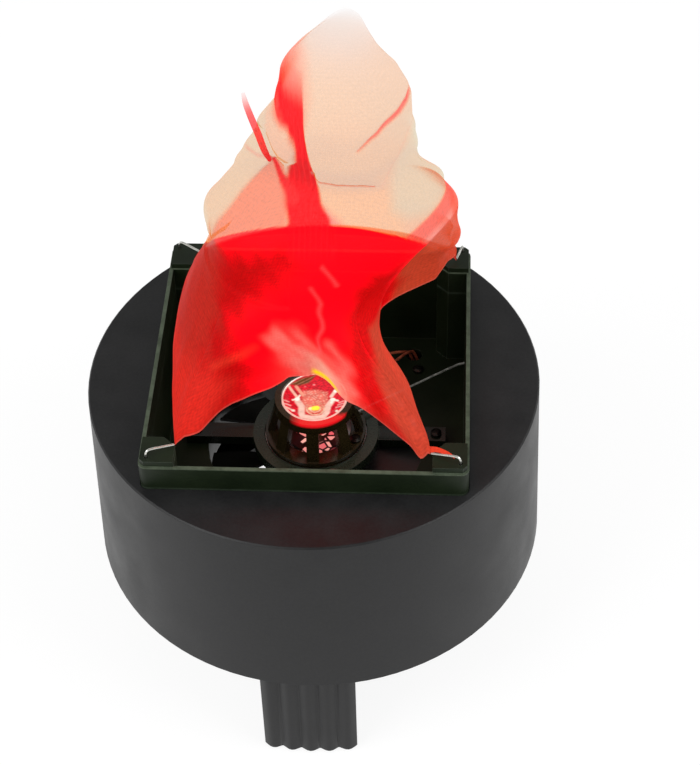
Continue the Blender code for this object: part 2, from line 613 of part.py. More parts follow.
def blade(points, faces, start):
    """Adds one blade: a plate that climbs as it sweeps round, with its root in the hub's wall."""
    chord_count, span_count = 4, 4
    root, tip = HUB_RADIUS - HUB_WALL / 2, FAN_DUCT_RADIUS - BLADE_TIP_GAP
    low = HUB_TOP - MM - BLADE_RISE
    first = len(points)
    for side in (0, 1):
        for i in range(span_count + 1):
            radius = root + (tip - root) * i / span_count
            lean = math.radians(9) * i / span_count
            for j in range(chord_count + 1):
                share = j / chord_count
                angle = start + lean + math.radians(BLADE_SWEEP_DEG) * share
                height = low + (BLADE_RISE - BLADE_THICK) * share ** 1.15 + side * BLADE_THICK
                points.append(polar(radius, angle, height))
    wide = chord_count + 1
    layer = wide * (span_count + 1)

    def at(side, i, j):
        return first + side * layer + i * wide + j

    for i in range(span_count):
        for j in range(chord_count):
            faces.append((at(0, i, j), at(0, i + 1, j), at(0, i + 1, j + 1), at(0, i, j + 1)))
            faces.append((at(1, i, j), at(1, i, j + 1), at(1, i + 1, j + 1), at(1, i + 1, j)))
    for i in range(span_count):
        for j in (0, chord_count):
            faces.append((at(0, i, j), at(0, i + 1, j), at(1, i + 1, j), at(1, i, j)))
    for j in range(chord_count):
        for i in (0, span_count):
            faces.append((at(0, i, j), at(0, i, j + 1), at(1, i, j + 1), at(1, i, j)))


def make_motor(finishes):
    """What turns the rotor: the shaft, two bearings, the wound core and the magnet ring."""
    rod("fan_shaft", SHAFT_RADIUS, MOTOR_PLATE_TOP + GAP, HUB_CEILING, 16, finishes["steel"])
    bore = SHAFT_RADIUS + 0.09 * MM
    ring = BEARING_TUBE_INNER - 0.15 * MM
    low = MOTOR_PLATE_TOP + GAP
    tube("bearing_lower", ring, bore, low, low + BEARING_HEIGHT, 24, finishes["steel"])
    high = BEARING_TUBE_TOP - GAP
    tube("bearing_upper", ring, bore, high - BEARING_HEIGHT, high, 24, finishes["steel"])
    magnet_outer = HUB_RADIUS - HUB_WALL - GAP
    tube("magnet_ring", magnet_outer, magnet_outer - MAGNET_THICK, HUB_CEILING - GAP - MAGNET_HEIGHT,
         HUB_CEILING - GAP, 32, finishes["magnet"])
    core_low = MOTOR_PLATE_TOP + 3 * MM
    core = tube("stator_core", BEARING_TUBE_OUTER + 3 * MM, BEARING_TUBE_OUTER + GAP, core_low,
                core_low + STATOR_HEIGHT, 24, finishes["copper"])
    for k, angle in enumerate(around(STATOR_POLE_COUNT)):
        shoe = sector(STATOR_RADIUS - 3 * MM, STATOR_RADIUS, math.radians(34), 6)
        fuse(core, place(prism(f"pole_shoe_{k}", shoe, core_low, core_low + STATOR_HEIGHT), turn=angle))
        neck = block(f"pole_neck_{k}", (BEARING_TUBE_OUTER + MM, -4 * MM, core_low + MM),
                     (STATOR_RADIUS - 2 * MM, 4 * MM, core_low + STATOR_HEIGHT - MM))
        fuse(core, place(neck, turn=angle))
    return core


def make_bracket(finish):
    """The ring that carries the lamp over the fan, on four flat arms that rest on the tray floor."""
    ledge = BRACKET_BOTTOM + BRACKET_LEDGE_THICK
    profile = [(BRACKET_OUTER, BRACKET_BOTTOM), (BRACKET_OUTER, BRACKET_TOP), (BRACKET_INNER, BRACKET_TOP),
               (BRACKET_INNER, ledge), (BRACKET_LEDGE, ledge), (BRACKET_LEDGE, BRACKET_BOTTOM)]
    bracket = turned("lamp_bracket", profile, 48, finish)
    for k, angle in enumerate(around(4)):
        arm = block(f"bracket_arm_{k}", (BRACKET_INNER + 2 * MM, -BRACKET_ARM_WIDTH / 2, BRACKET_BOTTOM),
                    (BRACKET_ARM_REACH, BRACKET_ARM_WIDTH / 2, BRACKET_TOP - MM))
        fuse(bracket, place(arm, turn=angle))
    for k, angle in enumerate(BRACKET_SCREW_ANGLES):
        hole = rod(f"bracket_hole_{k}", SCREW_HOLE_RADIUS, BRACKET_BOTTOM - MM, BRACKET_TOP + MM)
        cut(bracket, place(hole, polar(BRACKET_SCREW_RADIUS, angle)))
    return bracket


def make_heat_sink(finish):
    """An aluminium disc in the ring, with straight fins in the fan's air."""
    sink = rod("heat_sink", SINK_RADIUS, SINK_BOTTOM, SINK_TOP, 48, finish)
    limit = BRACKET_LEDGE - 0.6 * MM
    for k in range(SINK_FIN_COUNT):
        y = limit * 0.85 * (2 * k / (SINK_FIN_COUNT - 1) - 1)
        half = math.sqrt(limit ** 2 - (abs(y) + SINK_FIN_THICK / 2) ** 2)
        fin = block(f"fin_{k}", (-half, y - SINK_FIN_THICK / 2, SINK_BOTTOM - SINK_FIN_DROP),
                    (half, y + SINK_FIN_THICK / 2, SINK_BOTTOM + MM))
        fuse(sink, fin)
    for k, angle in enumerate(CAGE_SCREW_ANGLES):
        hole = rod(f"sink_hole_{k}", SCREW_HOLE_RADIUS, SINK_BOTTOM + MM, SINK_TOP + MM)
        cut(sink, place(hole, polar(CAGE_SCREW_RING, angle)))
    return sink


def make_cage(finish):
    """The lens holder: a band round the lens on eight splayed ribs that rise from a ring."""
    outer = CAGE_BORE + CAGE_WALL
    ledge_top = LENS_TOP - LENS_FLANGE - GAP
    band = [(outer, CAGE_TOP), (CAGE_BORE, CAGE_TOP), (CAGE_BORE, ledge_top),
            (CAGE_BORE - CAGE_LEDGE, ledge_top), (CAGE_BORE - CAGE_LEDGE, CAGE_BAND_BOTTOM),
            (outer + 0.5 * MM, CAGE_BAND_BOTTOM)]
    cage = turned("lens_cage", band, 48, finish)
    ring = tube("cage_ring", SINK_RADIUS - 0.2 * MM, BOARD_RADIUS + 2.6 * MM, BOARD_BOTTOM,
                BOARD_BOTTOM + CAGE_RING_THICK, 48)
    fuse(cage, ring)
    foot = BOARD_BOTTOM + 0.5 * MM
    head = CAGE_BAND_BOTTOM + MM
    profile = [(CAGE_BORE - 0.3 * MM, head), (outer - 0.1 * MM, head), (SINK_RADIUS - MM, foot),
               (SINK_RADIUS - 5 * MM, foot)]
    for k, angle in enumerate(around(CAGE_RIB_COUNT, 90)):
        half = CAGE_RIB_WIDTH / 2
        points = [(r, s * half, z) for s in (-1, 1) for r, z in profile]
        faces = [(0, 1, 2, 3), (4, 5, 6, 7)] + [(j, (j + 1) % 4, 4 + (j + 1) % 4, 4 + j) for j in range(4)]
        fuse(cage, place(add_mesh(f"cage_rib_{k}", points, faces), turn=angle))
    for k, angle in enumerate(CAGE_SCREW_ANGLES):
        hole = rod(f"cage_hole_{k}", SCREW_HOLE_RADIUS, BOARD_BOTTOM - MM, BOARD_BOTTOM + CAGE_RING_THICK + MM)
        cut(cage, place(hole, polar(CAGE_SCREW_RING, angle)))
    return cage


def make_lamp(finishes):
    """The light itself: the round board, the emitter and the moulded lens."""
    rod("led_board", BOARD_RADIUS, BOARD_BOTTOM, BOARD_TOP, 32, finishes["board"])
    shoulder = EMITTER_BOTTOM + EMITTER_HEIGHT / 3
    turned("led_emitter", [(0, EMITTER_TOP), (0.6 * EMITTER_RADIUS, EMITTER_TOP - 0.4 * MM),
                           (0.9 * EMITTER_RADIUS, shoulder), (EMITTER_RADIUS, shoulder),
                           (EMITTER_RADIUS, EMITTER_BOTTOM), (0, EMITTER_BOTTOM)], 16, finishes["emitter"])
    flange = LENS_TOP - LENS_FLANGE
    waist = CAGE_BORE - CAGE_LEDGE - GAP
    dish = LENS_TOP - 0.6 * MM
    turned("led_lens", [(0, dish), (0.5 * LENS_RADIUS, dish), (0.8 * LENS_RADIUS, LENS_TOP),
                        (LENS_RADIUS, LENS_TOP), (LENS_RADIUS, flange), (waist, flange),
                        (waist * 0.8, LENS_BOTTOM + 0.45 * LENS_HEIGHT), (LENS_FOOT_RADIUS, LENS_BOTTOM),
                        (0, LENS_BOTTOM)], 32, finishes["lens"])


def make_inlet(finish):
    """A round low-voltage socket in the rear panel, with its centre pin."""
    start = PANEL_FRONT - INLET_LENGTH
    flange = PANEL_FRONT + GAP
    profile = [(0, start), (INLET_RADIUS, start), (INLET_RADIUS, flange), (INLET_FLANGE, flange),
               (INLET_FLANGE, flange + 1.5 * MM), (INLET_BORE, flange + 1.5 * MM), (INLET_BORE, start + 3 * MM),
               (MM, start + 3 * MM), (MM, flange - MM), (0, flange - MM)]
    inlet = turned("power_inlet", profile, 24, finish)
    inlet.data.transform(Matrix.Rotation(-math.pi / 2, 4, "X"))
    return place(inlet, (INLET_X, 0, FITTING_Z))


def make_switch(finishes):
    """The rocker switch: a cup with a flange, the rocker and its pin. At rest it is on."""
    front = PANEL_FRONT + GAP
    flange = (SWITCH_WIDTH / 2 + 1.5 * MM, SWITCH_LENGTH / 2 + 1.5 * MM)
    cup = (SWITCH_WIDTH / 2, SWITCH_LENGTH / 2)
    inside = (cup[0] - SWITCH_WALL, cup[1] - SWITCH_WALL)
    body = block("switch_body", (-flange[0], front, -flange[1]), (flange[0], front + SWITCH_FLANGE, flange[1]),
                 finishes["cage"])
    back = front - SWITCH_DEPTH
    fuse(body, block("switch_cup", (-cup[0], back, -cup[1]), (cup[0], front + SWITCH_FLANGE / 2, cup[1])))
    cut(body, block("switch_inside", (-inside[0], back + SWITCH_WALL, -inside[1]),
                    (inside[0], front + SWITCH_FLANGE + MM, inside[1])))
    pivot = front - 2 * MM
    pin_hole = rod("switch_pin_hole", ROCKER_PIN_RADIUS + 0.2 * MM, -cup[0] - MM, cup[0] + MM, 12)
    pin_hole.data.transform(Matrix.Rotation(math.pi / 2, 4, "Y"))
    cut(body, place(pin_hole, (0, pivot, 0)))
    for obj in (body, *[m.object for m in body.modifiers]):
        obj.location = Vector(obj.location) + Vector((SWITCH_X, 0, FITTING_Z))
    pin = rod("switch_pin", ROCKER_PIN_RADIUS, -cup[0] + 0.2 * MM, cup[0] - 0.2 * MM, 12, finishes["steel"])
    pin.data.transform(Matrix.Rotation(math.pi / 2, 4, "Y"))
    place(pin, (SWITCH_X, pivot, FITTING_Z))
    make_rocker((SWITCH_X, pivot, FITTING_Z), finishes["cage"])


def make_rocker(pivot, finish):
    """The rocker, with a shallow V on its face, tilted to its on position about its pin."""
    half, proud = ROCKER_LENGTH / 2, SWITCH_FLANGE + 4.2 * MM
    side = [(-3 * MM, -0.5 * half), (0, -half), (proud, -half), (proud - 1.2 * MM, 0), (proud, half), (0, half),
            (-3 * MM, 0.5 * half)]
    count = len(side)
    points = [(s * ROCKER_WIDTH / 2, y, z) for s in (-1, 1) for y, z in side]
    faces = [tuple(range(count)), tuple(range(count, 2 * count))]
    faces += [(k, (k + 1) % count, count + (k + 1) % count, count + k) for k in range(count)]
    rocker = add_mesh("switch_rocker", points, faces, finish)
    hole = rod("rocker_pin_hole", ROCKER_PIN_RADIUS + 0.1 * MM, -ROCKER_WIDTH, ROCKER_WIDTH, 12)
    hole.data.transform(Matrix.Rotation(math.pi / 2, 4, "Y"))
    cut(rocker, hole)
    for obj in (rocker, hole):
        obj.location = pivot
        obj.rotation_euler = (math.radians(ROCKER_TILT_DEG), 0, 0)
    return rocker


def make_driver(finishes):
    """The supply and motor board with its transformer, capacitor and screws."""
    low = BASE_TOP + DRIVER_LIFT + GAP
    high = low + BOARD_THICK
    board = block("driver_board", (DRIVER_X - DRIVER_WIDTH / 2, -DRIVER_LENGTH / 2, low),
                  (DRIVER_X + DRIVER_WIDTH / 2, DRIVER_LENGTH / 2, high), finishes["board"])
    for k, y in enumerate(DRIVER_SCREW_YS):
        cut(board, place(rod(f"driver_hole_{k}", SCREW_HOLE_RADIUS, low - MM, high + MM), (DRIVER_X, y, 0)))
        screw(f"driver_screw_{k + 1}", (DRIVER_X, y, high + GAP), DRIVER_LIFT - MM, finishes["steel"])
    part = high + GAP
    block("driver_transformer", (DRIVER_X - 9 * MM, -12 * MM, part), (DRIVER_X + 7 * MM, 4 * MM, part + 14 * MM),
          finishes["component"])
    capacitor = rod("driver_capacitor", 4 * MM, part, part + 13 * MM, 20, finishes["component"])
    place(capacitor, (DRIVER_X - 3 * MM, 12 * MM, 0))


def make_screws(finishes):
    """The screws of the base, legs, tray, fan, bracket and lens cage."""
    steel = finishes["steel"]
    for k, angle in enumerate(BASE_SCREW_ANGLES):
        spot = polar(BASE_SCREW_RADIUS, angle, DRUM_BOTTOM - GAP)
        screw(f"base_screw_{k + 1}", spot, BASE_THICK + LUG_HEIGHT - 2 * MM, steel, head_down=True)
    for k, angle in enumerate(LEG_ANGLES):
        spot = polar(LEG_SCREW_RADIUS, angle, BASE_TOP + GAP)
        screw(f"leg_screw_{k + 1}", spot, BASE_THICK + LEG_SCREW_DEPTH - MM, steel)
    for k, angle in enumerate(around(4)):
        spot = polar(TRAY_SCREW_RADIUS, angle, TRAY_LUG_BOTTOM - GAP)
        screw(f"tray_screw_{k + 1}", spot, TRAY_LUG_THICK + TRAY_BOSS_DROP, steel, head_down=True)
    for k, angle in enumerate(around(4, 45)):
        spot = polar(FAN_HOLE_PITCH / math.sqrt(2), angle, TRAY_FLOOR_TOP + GAP)
        screw(f"fan_screw_{k + 1}", spot, 10 * MM, steel)
    for k, angle in enumerate(BRACKET_SCREW_ANGLES):
        spot = polar(BRACKET_SCREW_RADIUS, angle, BRACKET_TOP - MM + GAP)
        screw(f"bracket_screw_{k + 1}", spot, BRACKET_HEIGHT + TRAY_FLOOR, steel)
    for k, angle in enumerate(CAGE_SCREW_ANGLES):
        spot = polar(CAGE_SCREW_RING, angle, BOARD_BOTTOM + CAGE_RING_THICK + GAP)
        screw(f"cage_screw_{k + 1}", spot, CAGE_RING_THICK + SINK_THICK - 2 * MM, steel)


def make_wires(finishes):
    """The lamp's three leads, from its board over the ring and the tray floor to the driver."""
    deck = BOARD_TOP + GAP + LED_WIRE_RADIUS
    rim = BOARD_BOTTOM + CAGE_RING_THICK + GAP + LED_WIRE_RADIUS + 0.3 * MM
    ring = BRACKET_TOP + GAP + LED_WIRE_RADIUS
    floor = TRAY_FLOOR_TOP + GAP + LED_WIRE_RADIUS
    under = BASE_TOP + DRIVER_LIFT + BOARD_THICK + 3 * GAP + LED_WIRE_RADIUS
    hole = Vector((*WIRE_HOLE, 0))
    runs = (("led_wire_positive", 76, -1.4, 25.7, 60.4, 7), ("led_wire_negative", 60, 1.4, 24.6, 51.3, 1))
    for name, turn, spread, out, bend, back in runs:
        a = math.radians(turn)
        x = hole.x + spread * MM
        landing = DRIVER_LENGTH / 2 - back * MM
        route = [polar(BOARD_RADIUS - 2.2 * MM, a, deck), polar(BOARD_RADIUS - 0.2 * MM, a, rim),
                 polar(SINK_RADIUS - 3 * MM, a, rim + 0.4 * MM), polar(BRACKET_OUTER - 2 * MM, a, rim),
                 polar(BRACKET_OUTER + out * MM, math.radians(bend), ring + 2 * MM),
                 (x - 4 * MM, hole.y - 3 * MM, floor + 4 * MM),
                 (x, hole.y, TRAY_BOTTOM), (x + 5 * MM, hole.y + MM, FAN_BOTTOM + 7 * MM),
                 (x + 15 * MM, hole.y - 5 * MM, FAN_BOTTOM - 4 * MM),
                 (DRIVER_X - 4 * MM, landing + 12 * MM, under + 5 * MM),
                 (DRIVER_X - 8 * MM, landing, under)]
        wire(name, route, LED_WIRE_RADIUS, finishes["red_wire"])
    a = math.radians(25)
    y, z = SENSOR_HOLE
    route = [polar(BOARD_RADIUS - 2.2 * MM, a, deck), polar(BOARD_RADIUS - 0.2 * MM, a, rim),
             polar(SINK_RADIUS - 3 * MM, a, rim + 0.2 * MM), (TRAY_INNER - 9 * MM, y - 5 * MM, z),
             (TRAY_INNER - MM, y - 0.6 * MM, z), (TRAY_HALF + MM, y + 0.2 * MM, z),
             (TRAY_HALF + 5 * MM, y + 0.4 * MM, z - 5 * MM), (TRAY_HALF + 6 * MM, y - MM, TRAY_BOTTOM),
             (DRIVER_X + 2 * MM, DRIVER_LENGTH / 2 + 9 * MM, under + 16 * MM),
             (DRIVER_X + 6 * MM, DRIVER_LENGTH / 2 - 8 * MM, under)]
    wire("led_wire_sensor", route, SENSOR_WIRE_RADIUS, finishes["grey_wire"])


def eased(x, low, high):
    """From 0 at low to 1 at high, level at both ends."""
    t = np.clip((x - low) / (high - low), 0, 1)
    return t * t * (3 - 2 * t)


def through(x, spots, values):
    """A smooth curve through values at rising spots, which never passes beyond them."""
    spots, values = np.array(spots, float), np.array(values, float)
    width = np.diff(spots)
    slope = np.diff(values) / width
    lean = np.array((slope[0], *np.zeros(len(slope) - 1), slope[-1]))
    same = slope[:-1] * slope[1:] > 0
    lean[1:-1][same] = (2 * slope[:-1] * slope[1:])[same] / (slope[:-1] + slope[1:])[same]
    x = np.clip(x, spots[0], spots[-1])
    i = np.clip(np.searchsorted(spots, x, side="right") - 1, 0, len(width) - 1)
    t = (x - spots[i]) / width[i]
    rise = values[i + 1] - values[i]
    bend = t * (1 - t) ** 2 * lean[i] - t * t * (1 - t) * lean[i + 1]
    return values[i] + t * t * (3 - 2 * t) * rise + bend * width[i]


def silk_edge(turn):
    """The free edge. turn runs once round the cloth, from the corner at front right through the
    right, back, left and front arches."""
    side = np.floor(turn * 4).astype(int) % 4
    along = turn * 4 - np.floor(turn * 4)
    bow, rise, skew, start, end = SILK_ARCHES[side].T
    arch = 4 * along ** skew * (1 - along ** skew)
    bow = bow * arch ** np.where(along ** skew < 0.5, start, end)
    first, last = SILK_CORNERS[side], SILK_CORNERS[(side + 1) % 4]
    span = last - first
    inward = np.stack([-span[:, 1], span[:, 0]], 1) / np.linalg.norm(span, axis=1)[:, None]
    spot = (first + span * along[:, None] + inward * bow[:, None]) * CLIP_PIN / 100
    return spot, POST_TOP + SILK_LIFT + rise * CLIP_PIN / 100 * arch ** 0.8


def silk_section(height, angle):
    """The flame's oval cross-section with its lobes."""
    level = (height - DRUM_TOP) / SILK_TOP * 100
    left, right, front, back = (
        through(level, SILK_LEVELS, reach) for reach in (SILK_LEFT, SILK_RIGHT, SILK_FRONT, SILK_BACK))
    x = (left + right) / 2 + (right - left) / 2 * np.cos(angle)
    y = (front + back) / 2 + (back - front) / 2 * np.sin(angle)
    for bearing, half_width, heights, proud in SILK_LOBES:
        off = (angle - math.radians(bearing) + math.pi) % (2 * math.pi) - math.pi
        x = x + through(level, heights, proud) * np.exp(-(off / half_width) ** 2)
    return np.stack([x, y], 1) * CLIP_PIN / 100


def silk_points(turn, share):
    """The silk's outer surface. share runs from the free edge, 0, to the tip, 1, and each column is
    drawn from the edge curve into the oval sections above it."""
    edge, low = silk_edge(turn)
    height = low + (DRUM_TOP + SILK_TOP - low) * share
    body = silk_section(np.maximum(height, DRUM_TOP + SILK_FOOT), 2 * math.pi * turn - math.pi / 4)
    pull = eased(height, low - SILK_GATHER / 28, low + SILK_GATHER)[:, None]
    return np.column_stack([edge + (body - edge) * pull, height])


def make_silk(finish):
    """The blown silk as one thin shell: the outer surface, the same surface one thickness inwards,
    and a rim along the free edge that joins them."""
    rows, columns = SILK_ROW_COUNT, SILK_COLUMN_COUNT
    step = 1e-3
    turn = np.tile(np.arange(columns) / columns, rows)
    share = np.repeat((np.arange(rows) / rows) ** 1.05, columns)
    outer = silk_points(turn, share)
    ahead = silk_points((turn + step) % 1, share)
    behind = silk_points((turn - step) % 1, share)
    normal = np.cross(ahead - behind, silk_points(turn, share + step) - outer)
    inner = outer - SILK_THICK * normal / np.linalg.norm(normal, axis=1)[:, None]
    tip = silk_points(np.zeros(1), np.ones(1))
    points = np.concatenate([outer, tip, inner, tip - (0, 0, 3 * SILK_THICK)])
    inside = len(outer) + 1
    faces = []
    for j in range(columns):
        k = (j + 1) % columns
        for i in range(rows - 1):
            a, b = i * columns, (i + 1) * columns
            faces.append((a + j, a + k, b + k, b + j))
            faces.append((inside + a + j, inside + b + j, inside + b + k, inside + a + k))
        last = (rows - 1) * columns
        faces.append((last + j, last + k, len(outer)))
        faces.append((inside + last + k, inside + last + j, inside + len(outer)))
        faces.append((j, inside + j, inside + k, k))
    return add_mesh("silk_flame", points, faces, finish)


# Places that several pieces share
LEG_ANGLES = around(LEG_COUNT, -90)
LEG_FACE_RADIUS = FOOT_RADIUS - LEG_SETBACK
LEG_SCREW_RADIUS = LEG_FACE_RADIUS - LEG_DEPTH / 2 - MM
PAD_TOP = PAD_THICK
BASE_SCREW_ANGLES = tuple(math.radians(a) for a in (-30, 60, 120, 210))
BASE_SCREW_RADIUS = FOOT_INNER - LUG_SIZE / 2
AIR_SLOT_COUNT = 6
AIR_RIB = 5 * MM
AIR_SLOTS = ((12 * MM, 21 * MM), (26 * MM, 35 * MM), (40 * MM, 56 * MM))
TRAY_SCREW_RADIUS = TRAY_HALF + TRAY_LUG_LENGTH / 2
TRAY_LUG_TOP = DRUM_TOP - DRUM_TOP_THICK - TRAY_BOSS_DROP - GAP
TRAY_LUG_BOTTOM = TRAY_LUG_TOP - TRAY_LUG_THICK
CLIP_PIN = TRAY_INNER - 2.2 * MM
BRACKET_SCREW_ANGLES = around(4)
BRACKET_SCREW_RADIUS = BRACKET_ARM_REACH - BRACKET_ARM_WIDTH / 2
CAGE_SCREW_ANGLES = around(2, -180 / CAGE_RIB_COUNT)
WIRE_HOLE = (FAN_HALF - 10 * MM, FAN_HALF + FLOOR_WIRE_HOLE)
SENSOR_HOLE = (FAN_HALF - 13 * MM, TRAY_FLOOR_TOP + SENSOR_HOLE_RISE)
DRIVER_SCREW_YS = (-DRIVER_LENGTH / 2 + 4 * MM, DRIVER_LENGTH / 2 - 4 * MM)


def main():
    clear_scene()
    finishes = make_finishes()
    make_drum(finishes["shell"])
    make_base(finishes["shell"])
    for name, angle in zip(("front", "rear_right", "rear_left"), LEG_ANGLES):
        make_leg(f"leg_{name}", angle, finishes["shell"])
        make_pad(f"leg_pad_{name}", angle, finishes["rubber"])
    make_tray(finishes["tray"])
    for side, name in enumerate(("front_right", "rear_right", "rear_left", "front_left")):
        make_clip(f"silk_clip_{name}", side, finishes["steel"])
    make_fan_frame(finishes["fan"])
    make_rotor(finishes["fan"])
    make_motor(finishes)
    make_bracket(finishes["cage"])
    make_heat_sink(finishes["aluminium"])
    make_cage(finishes["cage"])
    make_lamp(finishes)
    make_inlet(finishes["cage"])
    make_switch(finishes)
    make_driver(finishes)
    make_screws(finishes)
    make_wires(finishes)
    make_silk(finishes["silk"])


main()
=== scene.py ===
"""A tabletop flame effect light: a matt black drum on fluted legs, a square tray let into its top, a
red lamp over a fan in the tray, and a thin silk on four corner posts that stands up as a flame."""
import json
import math

import bmesh
import bpy
import numpy as np
from mathutils import Matrix, Vector

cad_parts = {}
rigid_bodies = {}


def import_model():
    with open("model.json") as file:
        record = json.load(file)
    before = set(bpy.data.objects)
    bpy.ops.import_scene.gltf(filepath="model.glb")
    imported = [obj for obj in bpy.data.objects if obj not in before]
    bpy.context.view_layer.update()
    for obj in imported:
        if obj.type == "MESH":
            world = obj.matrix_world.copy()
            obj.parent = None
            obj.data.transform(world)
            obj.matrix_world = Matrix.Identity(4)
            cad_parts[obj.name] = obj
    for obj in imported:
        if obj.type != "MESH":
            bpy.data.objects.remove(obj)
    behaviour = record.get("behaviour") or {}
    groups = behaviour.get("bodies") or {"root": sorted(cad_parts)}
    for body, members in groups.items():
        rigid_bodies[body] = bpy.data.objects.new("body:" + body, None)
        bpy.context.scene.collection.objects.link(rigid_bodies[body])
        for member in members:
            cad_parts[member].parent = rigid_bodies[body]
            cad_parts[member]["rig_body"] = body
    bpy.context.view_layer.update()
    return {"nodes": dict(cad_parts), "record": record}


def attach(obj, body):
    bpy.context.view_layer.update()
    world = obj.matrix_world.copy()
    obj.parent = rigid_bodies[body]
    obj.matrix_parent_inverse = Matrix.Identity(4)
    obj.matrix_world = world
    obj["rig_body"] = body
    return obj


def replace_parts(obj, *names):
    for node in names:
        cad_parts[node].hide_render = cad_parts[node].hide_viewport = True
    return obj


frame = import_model()

MM = 0.001
DRUM_TOP = 168 * MM
TRAY_RIM = 182.5 * MM
POST_TOP = 186 * MM
LENS_FACE = 151.3 * MM
ROTOR_TURN = math.radians(12)

# What counts as one point, as flat and as an edge, when a CAD mesh is softened
SAME_POINT = 0.002 * MM
FLAT_ANGLE = math.radians(0.6)
EDGE_ANGLE = math.radians(28)

# The studio. A lamp has its place, its side and its power
WHITE, FLOOR_GREY = (1, 1, 1, 1), (0.17, 0.17, 0.17, 1)
FLOOR_GLOW = 0.865
FLOOR_REACH = 12.0
STUDIO_LAMPS = (("left_lamp", (-1.1, -0.9, 1.3), 1.1, 16), ("right_lamp", (1.2, -0.5, 1.2), 1.0, 11))
LAMP_TARGET = (0, 0, 0.2)

# The view, in the photograph's own frame of 700 by 765
VIEW_ELEVATION = math.radians(45.45)
VIEW_TURN = math.radians(5.45)
VIEW_ROLL = math.radians(2.81)
VIEW_DISTANCE = 994.67 * MM
PICTURE_WIDTH, PICTURE_HEIGHT = 700, 765
FOCAL_PIXELS = 1948.84
CENTRE_PIXEL = (313.19, 374.18)


def new_object(name, data):
    """A new object in the scene."""
    made = bpy.data.objects.new(name, data)
    bpy.context.scene.collection.objects.link(made)
    return made


def add_camera():
    """The camera looks at the middle of the drum's top, with the photograph's lens, shift and roll."""
    e, a, r = VIEW_ELEVATION, VIEW_TURN, VIEW_ROLL
    back = Vector((math.sin(a) * math.cos(e), -math.cos(a) * math.cos(e), math.sin(e)))
    level = Vector((math.cos(a), math.sin(a), 0))
    rise = back.cross(level)
    right = level * math.cos(r) - rise * math.sin(r)
    up = level * math.sin(r) + rise * math.cos(r)
    data = bpy.data.cameras.new("photo_camera")
    data.sensor_fit = "AUTO"
    data.sensor_width = 36
    data.lens = FOCAL_PIXELS * data.sensor_width / PICTURE_HEIGHT
    data.shift_x = (PICTURE_WIDTH / 2 - CENTRE_PIXEL[0]) / PICTURE_HEIGHT
    data.shift_y = (CENTRE_PIXEL[1] - PICTURE_HEIGHT / 2) / PICTURE_HEIGHT
    data.clip_start = 0.01
    place = Matrix((right, up, back)).transposed().to_4x4()
    place.translation = back * VIEW_DISTANCE + Vector((0, 0, DRUM_TOP))
    camera = new_object("photo_camera", data)
    camera.matrix_world = place
    bpy.context.scene.camera = camera


# ---- nodes

def new_finish(name, roughness=0.5, metallic=0.0, **sockets):
    """A material with one Principled shader. Values that are the same all over go on its sockets."""
    material = bpy.data.materials.new(name)
    material.use_nodes = True
    tree = material.node_tree
    shader = tree.nodes["Principled BSDF"]
    shader.inputs["Roughness"].default_value = roughness
    shader.inputs["Metallic"].default_value = metallic
    for socket, value in sockets.items():
        shader.inputs[socket.replace("_", " ")].default_value = value
    return material, tree, shader


def node(tree, kind, wires=None, **settings):
    """A shader node with its settings, and its inputs joined or set by name or number."""
    made = tree.nodes.new("ShaderNode" + kind)
    for key, value in settings.items():
        setattr(made, key, value)
    for key, value in (wires or {}).items():
        socket = made.inputs[key]
        if isinstance(value, bpy.types.NodeSocket):
            tree.links.new(value, socket)
        else:
            socket.default_value = value
    return made


def feed(shader, **outputs):
    """Joins each output to the shader's socket of that name."""
    for socket, output in outputs.items():
        shader.id_data.links.new(output, shader.inputs[socket.replace("_", " ")])


# A helper that is given a socket puts its node in that socket's own tree

def noise(where, size, detail=3.0, roughness=0.55):
    """Smooth noise whose lumps are size across, in metres."""
    wires = {"Vector": where, "Scale": 1 / size, "Detail": detail, "Roughness": roughness}
    return node(where.id_data, "TexNoise", wires).outputs[0]


def remap(value, low, high, to_low=0.0, to_high=1.0):
    """Carries value from low..high to to_low..to_high, and holds it there."""
    ends = {"From Min": low, "From Max": high, "To Min": to_low, "To Max": to_high}
    return node(value.id_data, "MapRange", {"Value": value, **ends}).outputs[0]


def blend_colour(share, first, second, how="MIX"):
    """Mixes two colours by share. Either the share or the first colour is a socket."""
    tree = share.id_data if isinstance(share, bpy.types.NodeSocket) else first.id_data
    made = node(tree, "Mix", data_type="RGBA", blend_type=how)
    for key, value in ((0, share), (6, first), (7, second)):
        if isinstance(value, bpy.types.NodeSocket):
            tree.links.new(value, made.inputs[key])
        elif key:
            made.inputs[key].default_value = (*value, 1)
        else:
            made.inputs[key].default_value = value
    return made.outputs[2]


def shaded(colour, shade):
    """A colour made darker or lighter by a value."""
    grey = node(shade.id_data, "CombineColor", {0: shade, 1: shade, 2: shade}).outputs[0]
    return blend_colour(1.0, colour, grey, "MULTIPLY")


def math_node(how, first, second):
    """One sum on two values."""
    return node(first.id_data, "Math", {0: first, 1: second}, operation=how).outputs[0]


def plus(first, second):
    return math_node("ADD", first, second)


def times(first, second):
    return math_node("MULTIPLY", first, second)


def vector_sum(how, first, second=(0, 0, 0)):
    """One sum on two vectors."""
    return node(first.id_data, "VectorMath", {0: first, 1: second}, operation=how)


def bumped(shader, height, depth, strength):
    """Turns a height field into the shader's normal. depth is in metres."""
    wires = {"Height": height, "Distance": depth, "Strength": strength}
    feed(shader, Normal=node(height.id_data, "Bump", wires).outputs[0])


def object_place(tree):
    return node(tree, "TexCoord").outputs["Object"]


def split(vector):
    """A vector's X, Y and Z."""
    return node(vector.id_data, "SeparateXYZ", {0: vector}).outputs


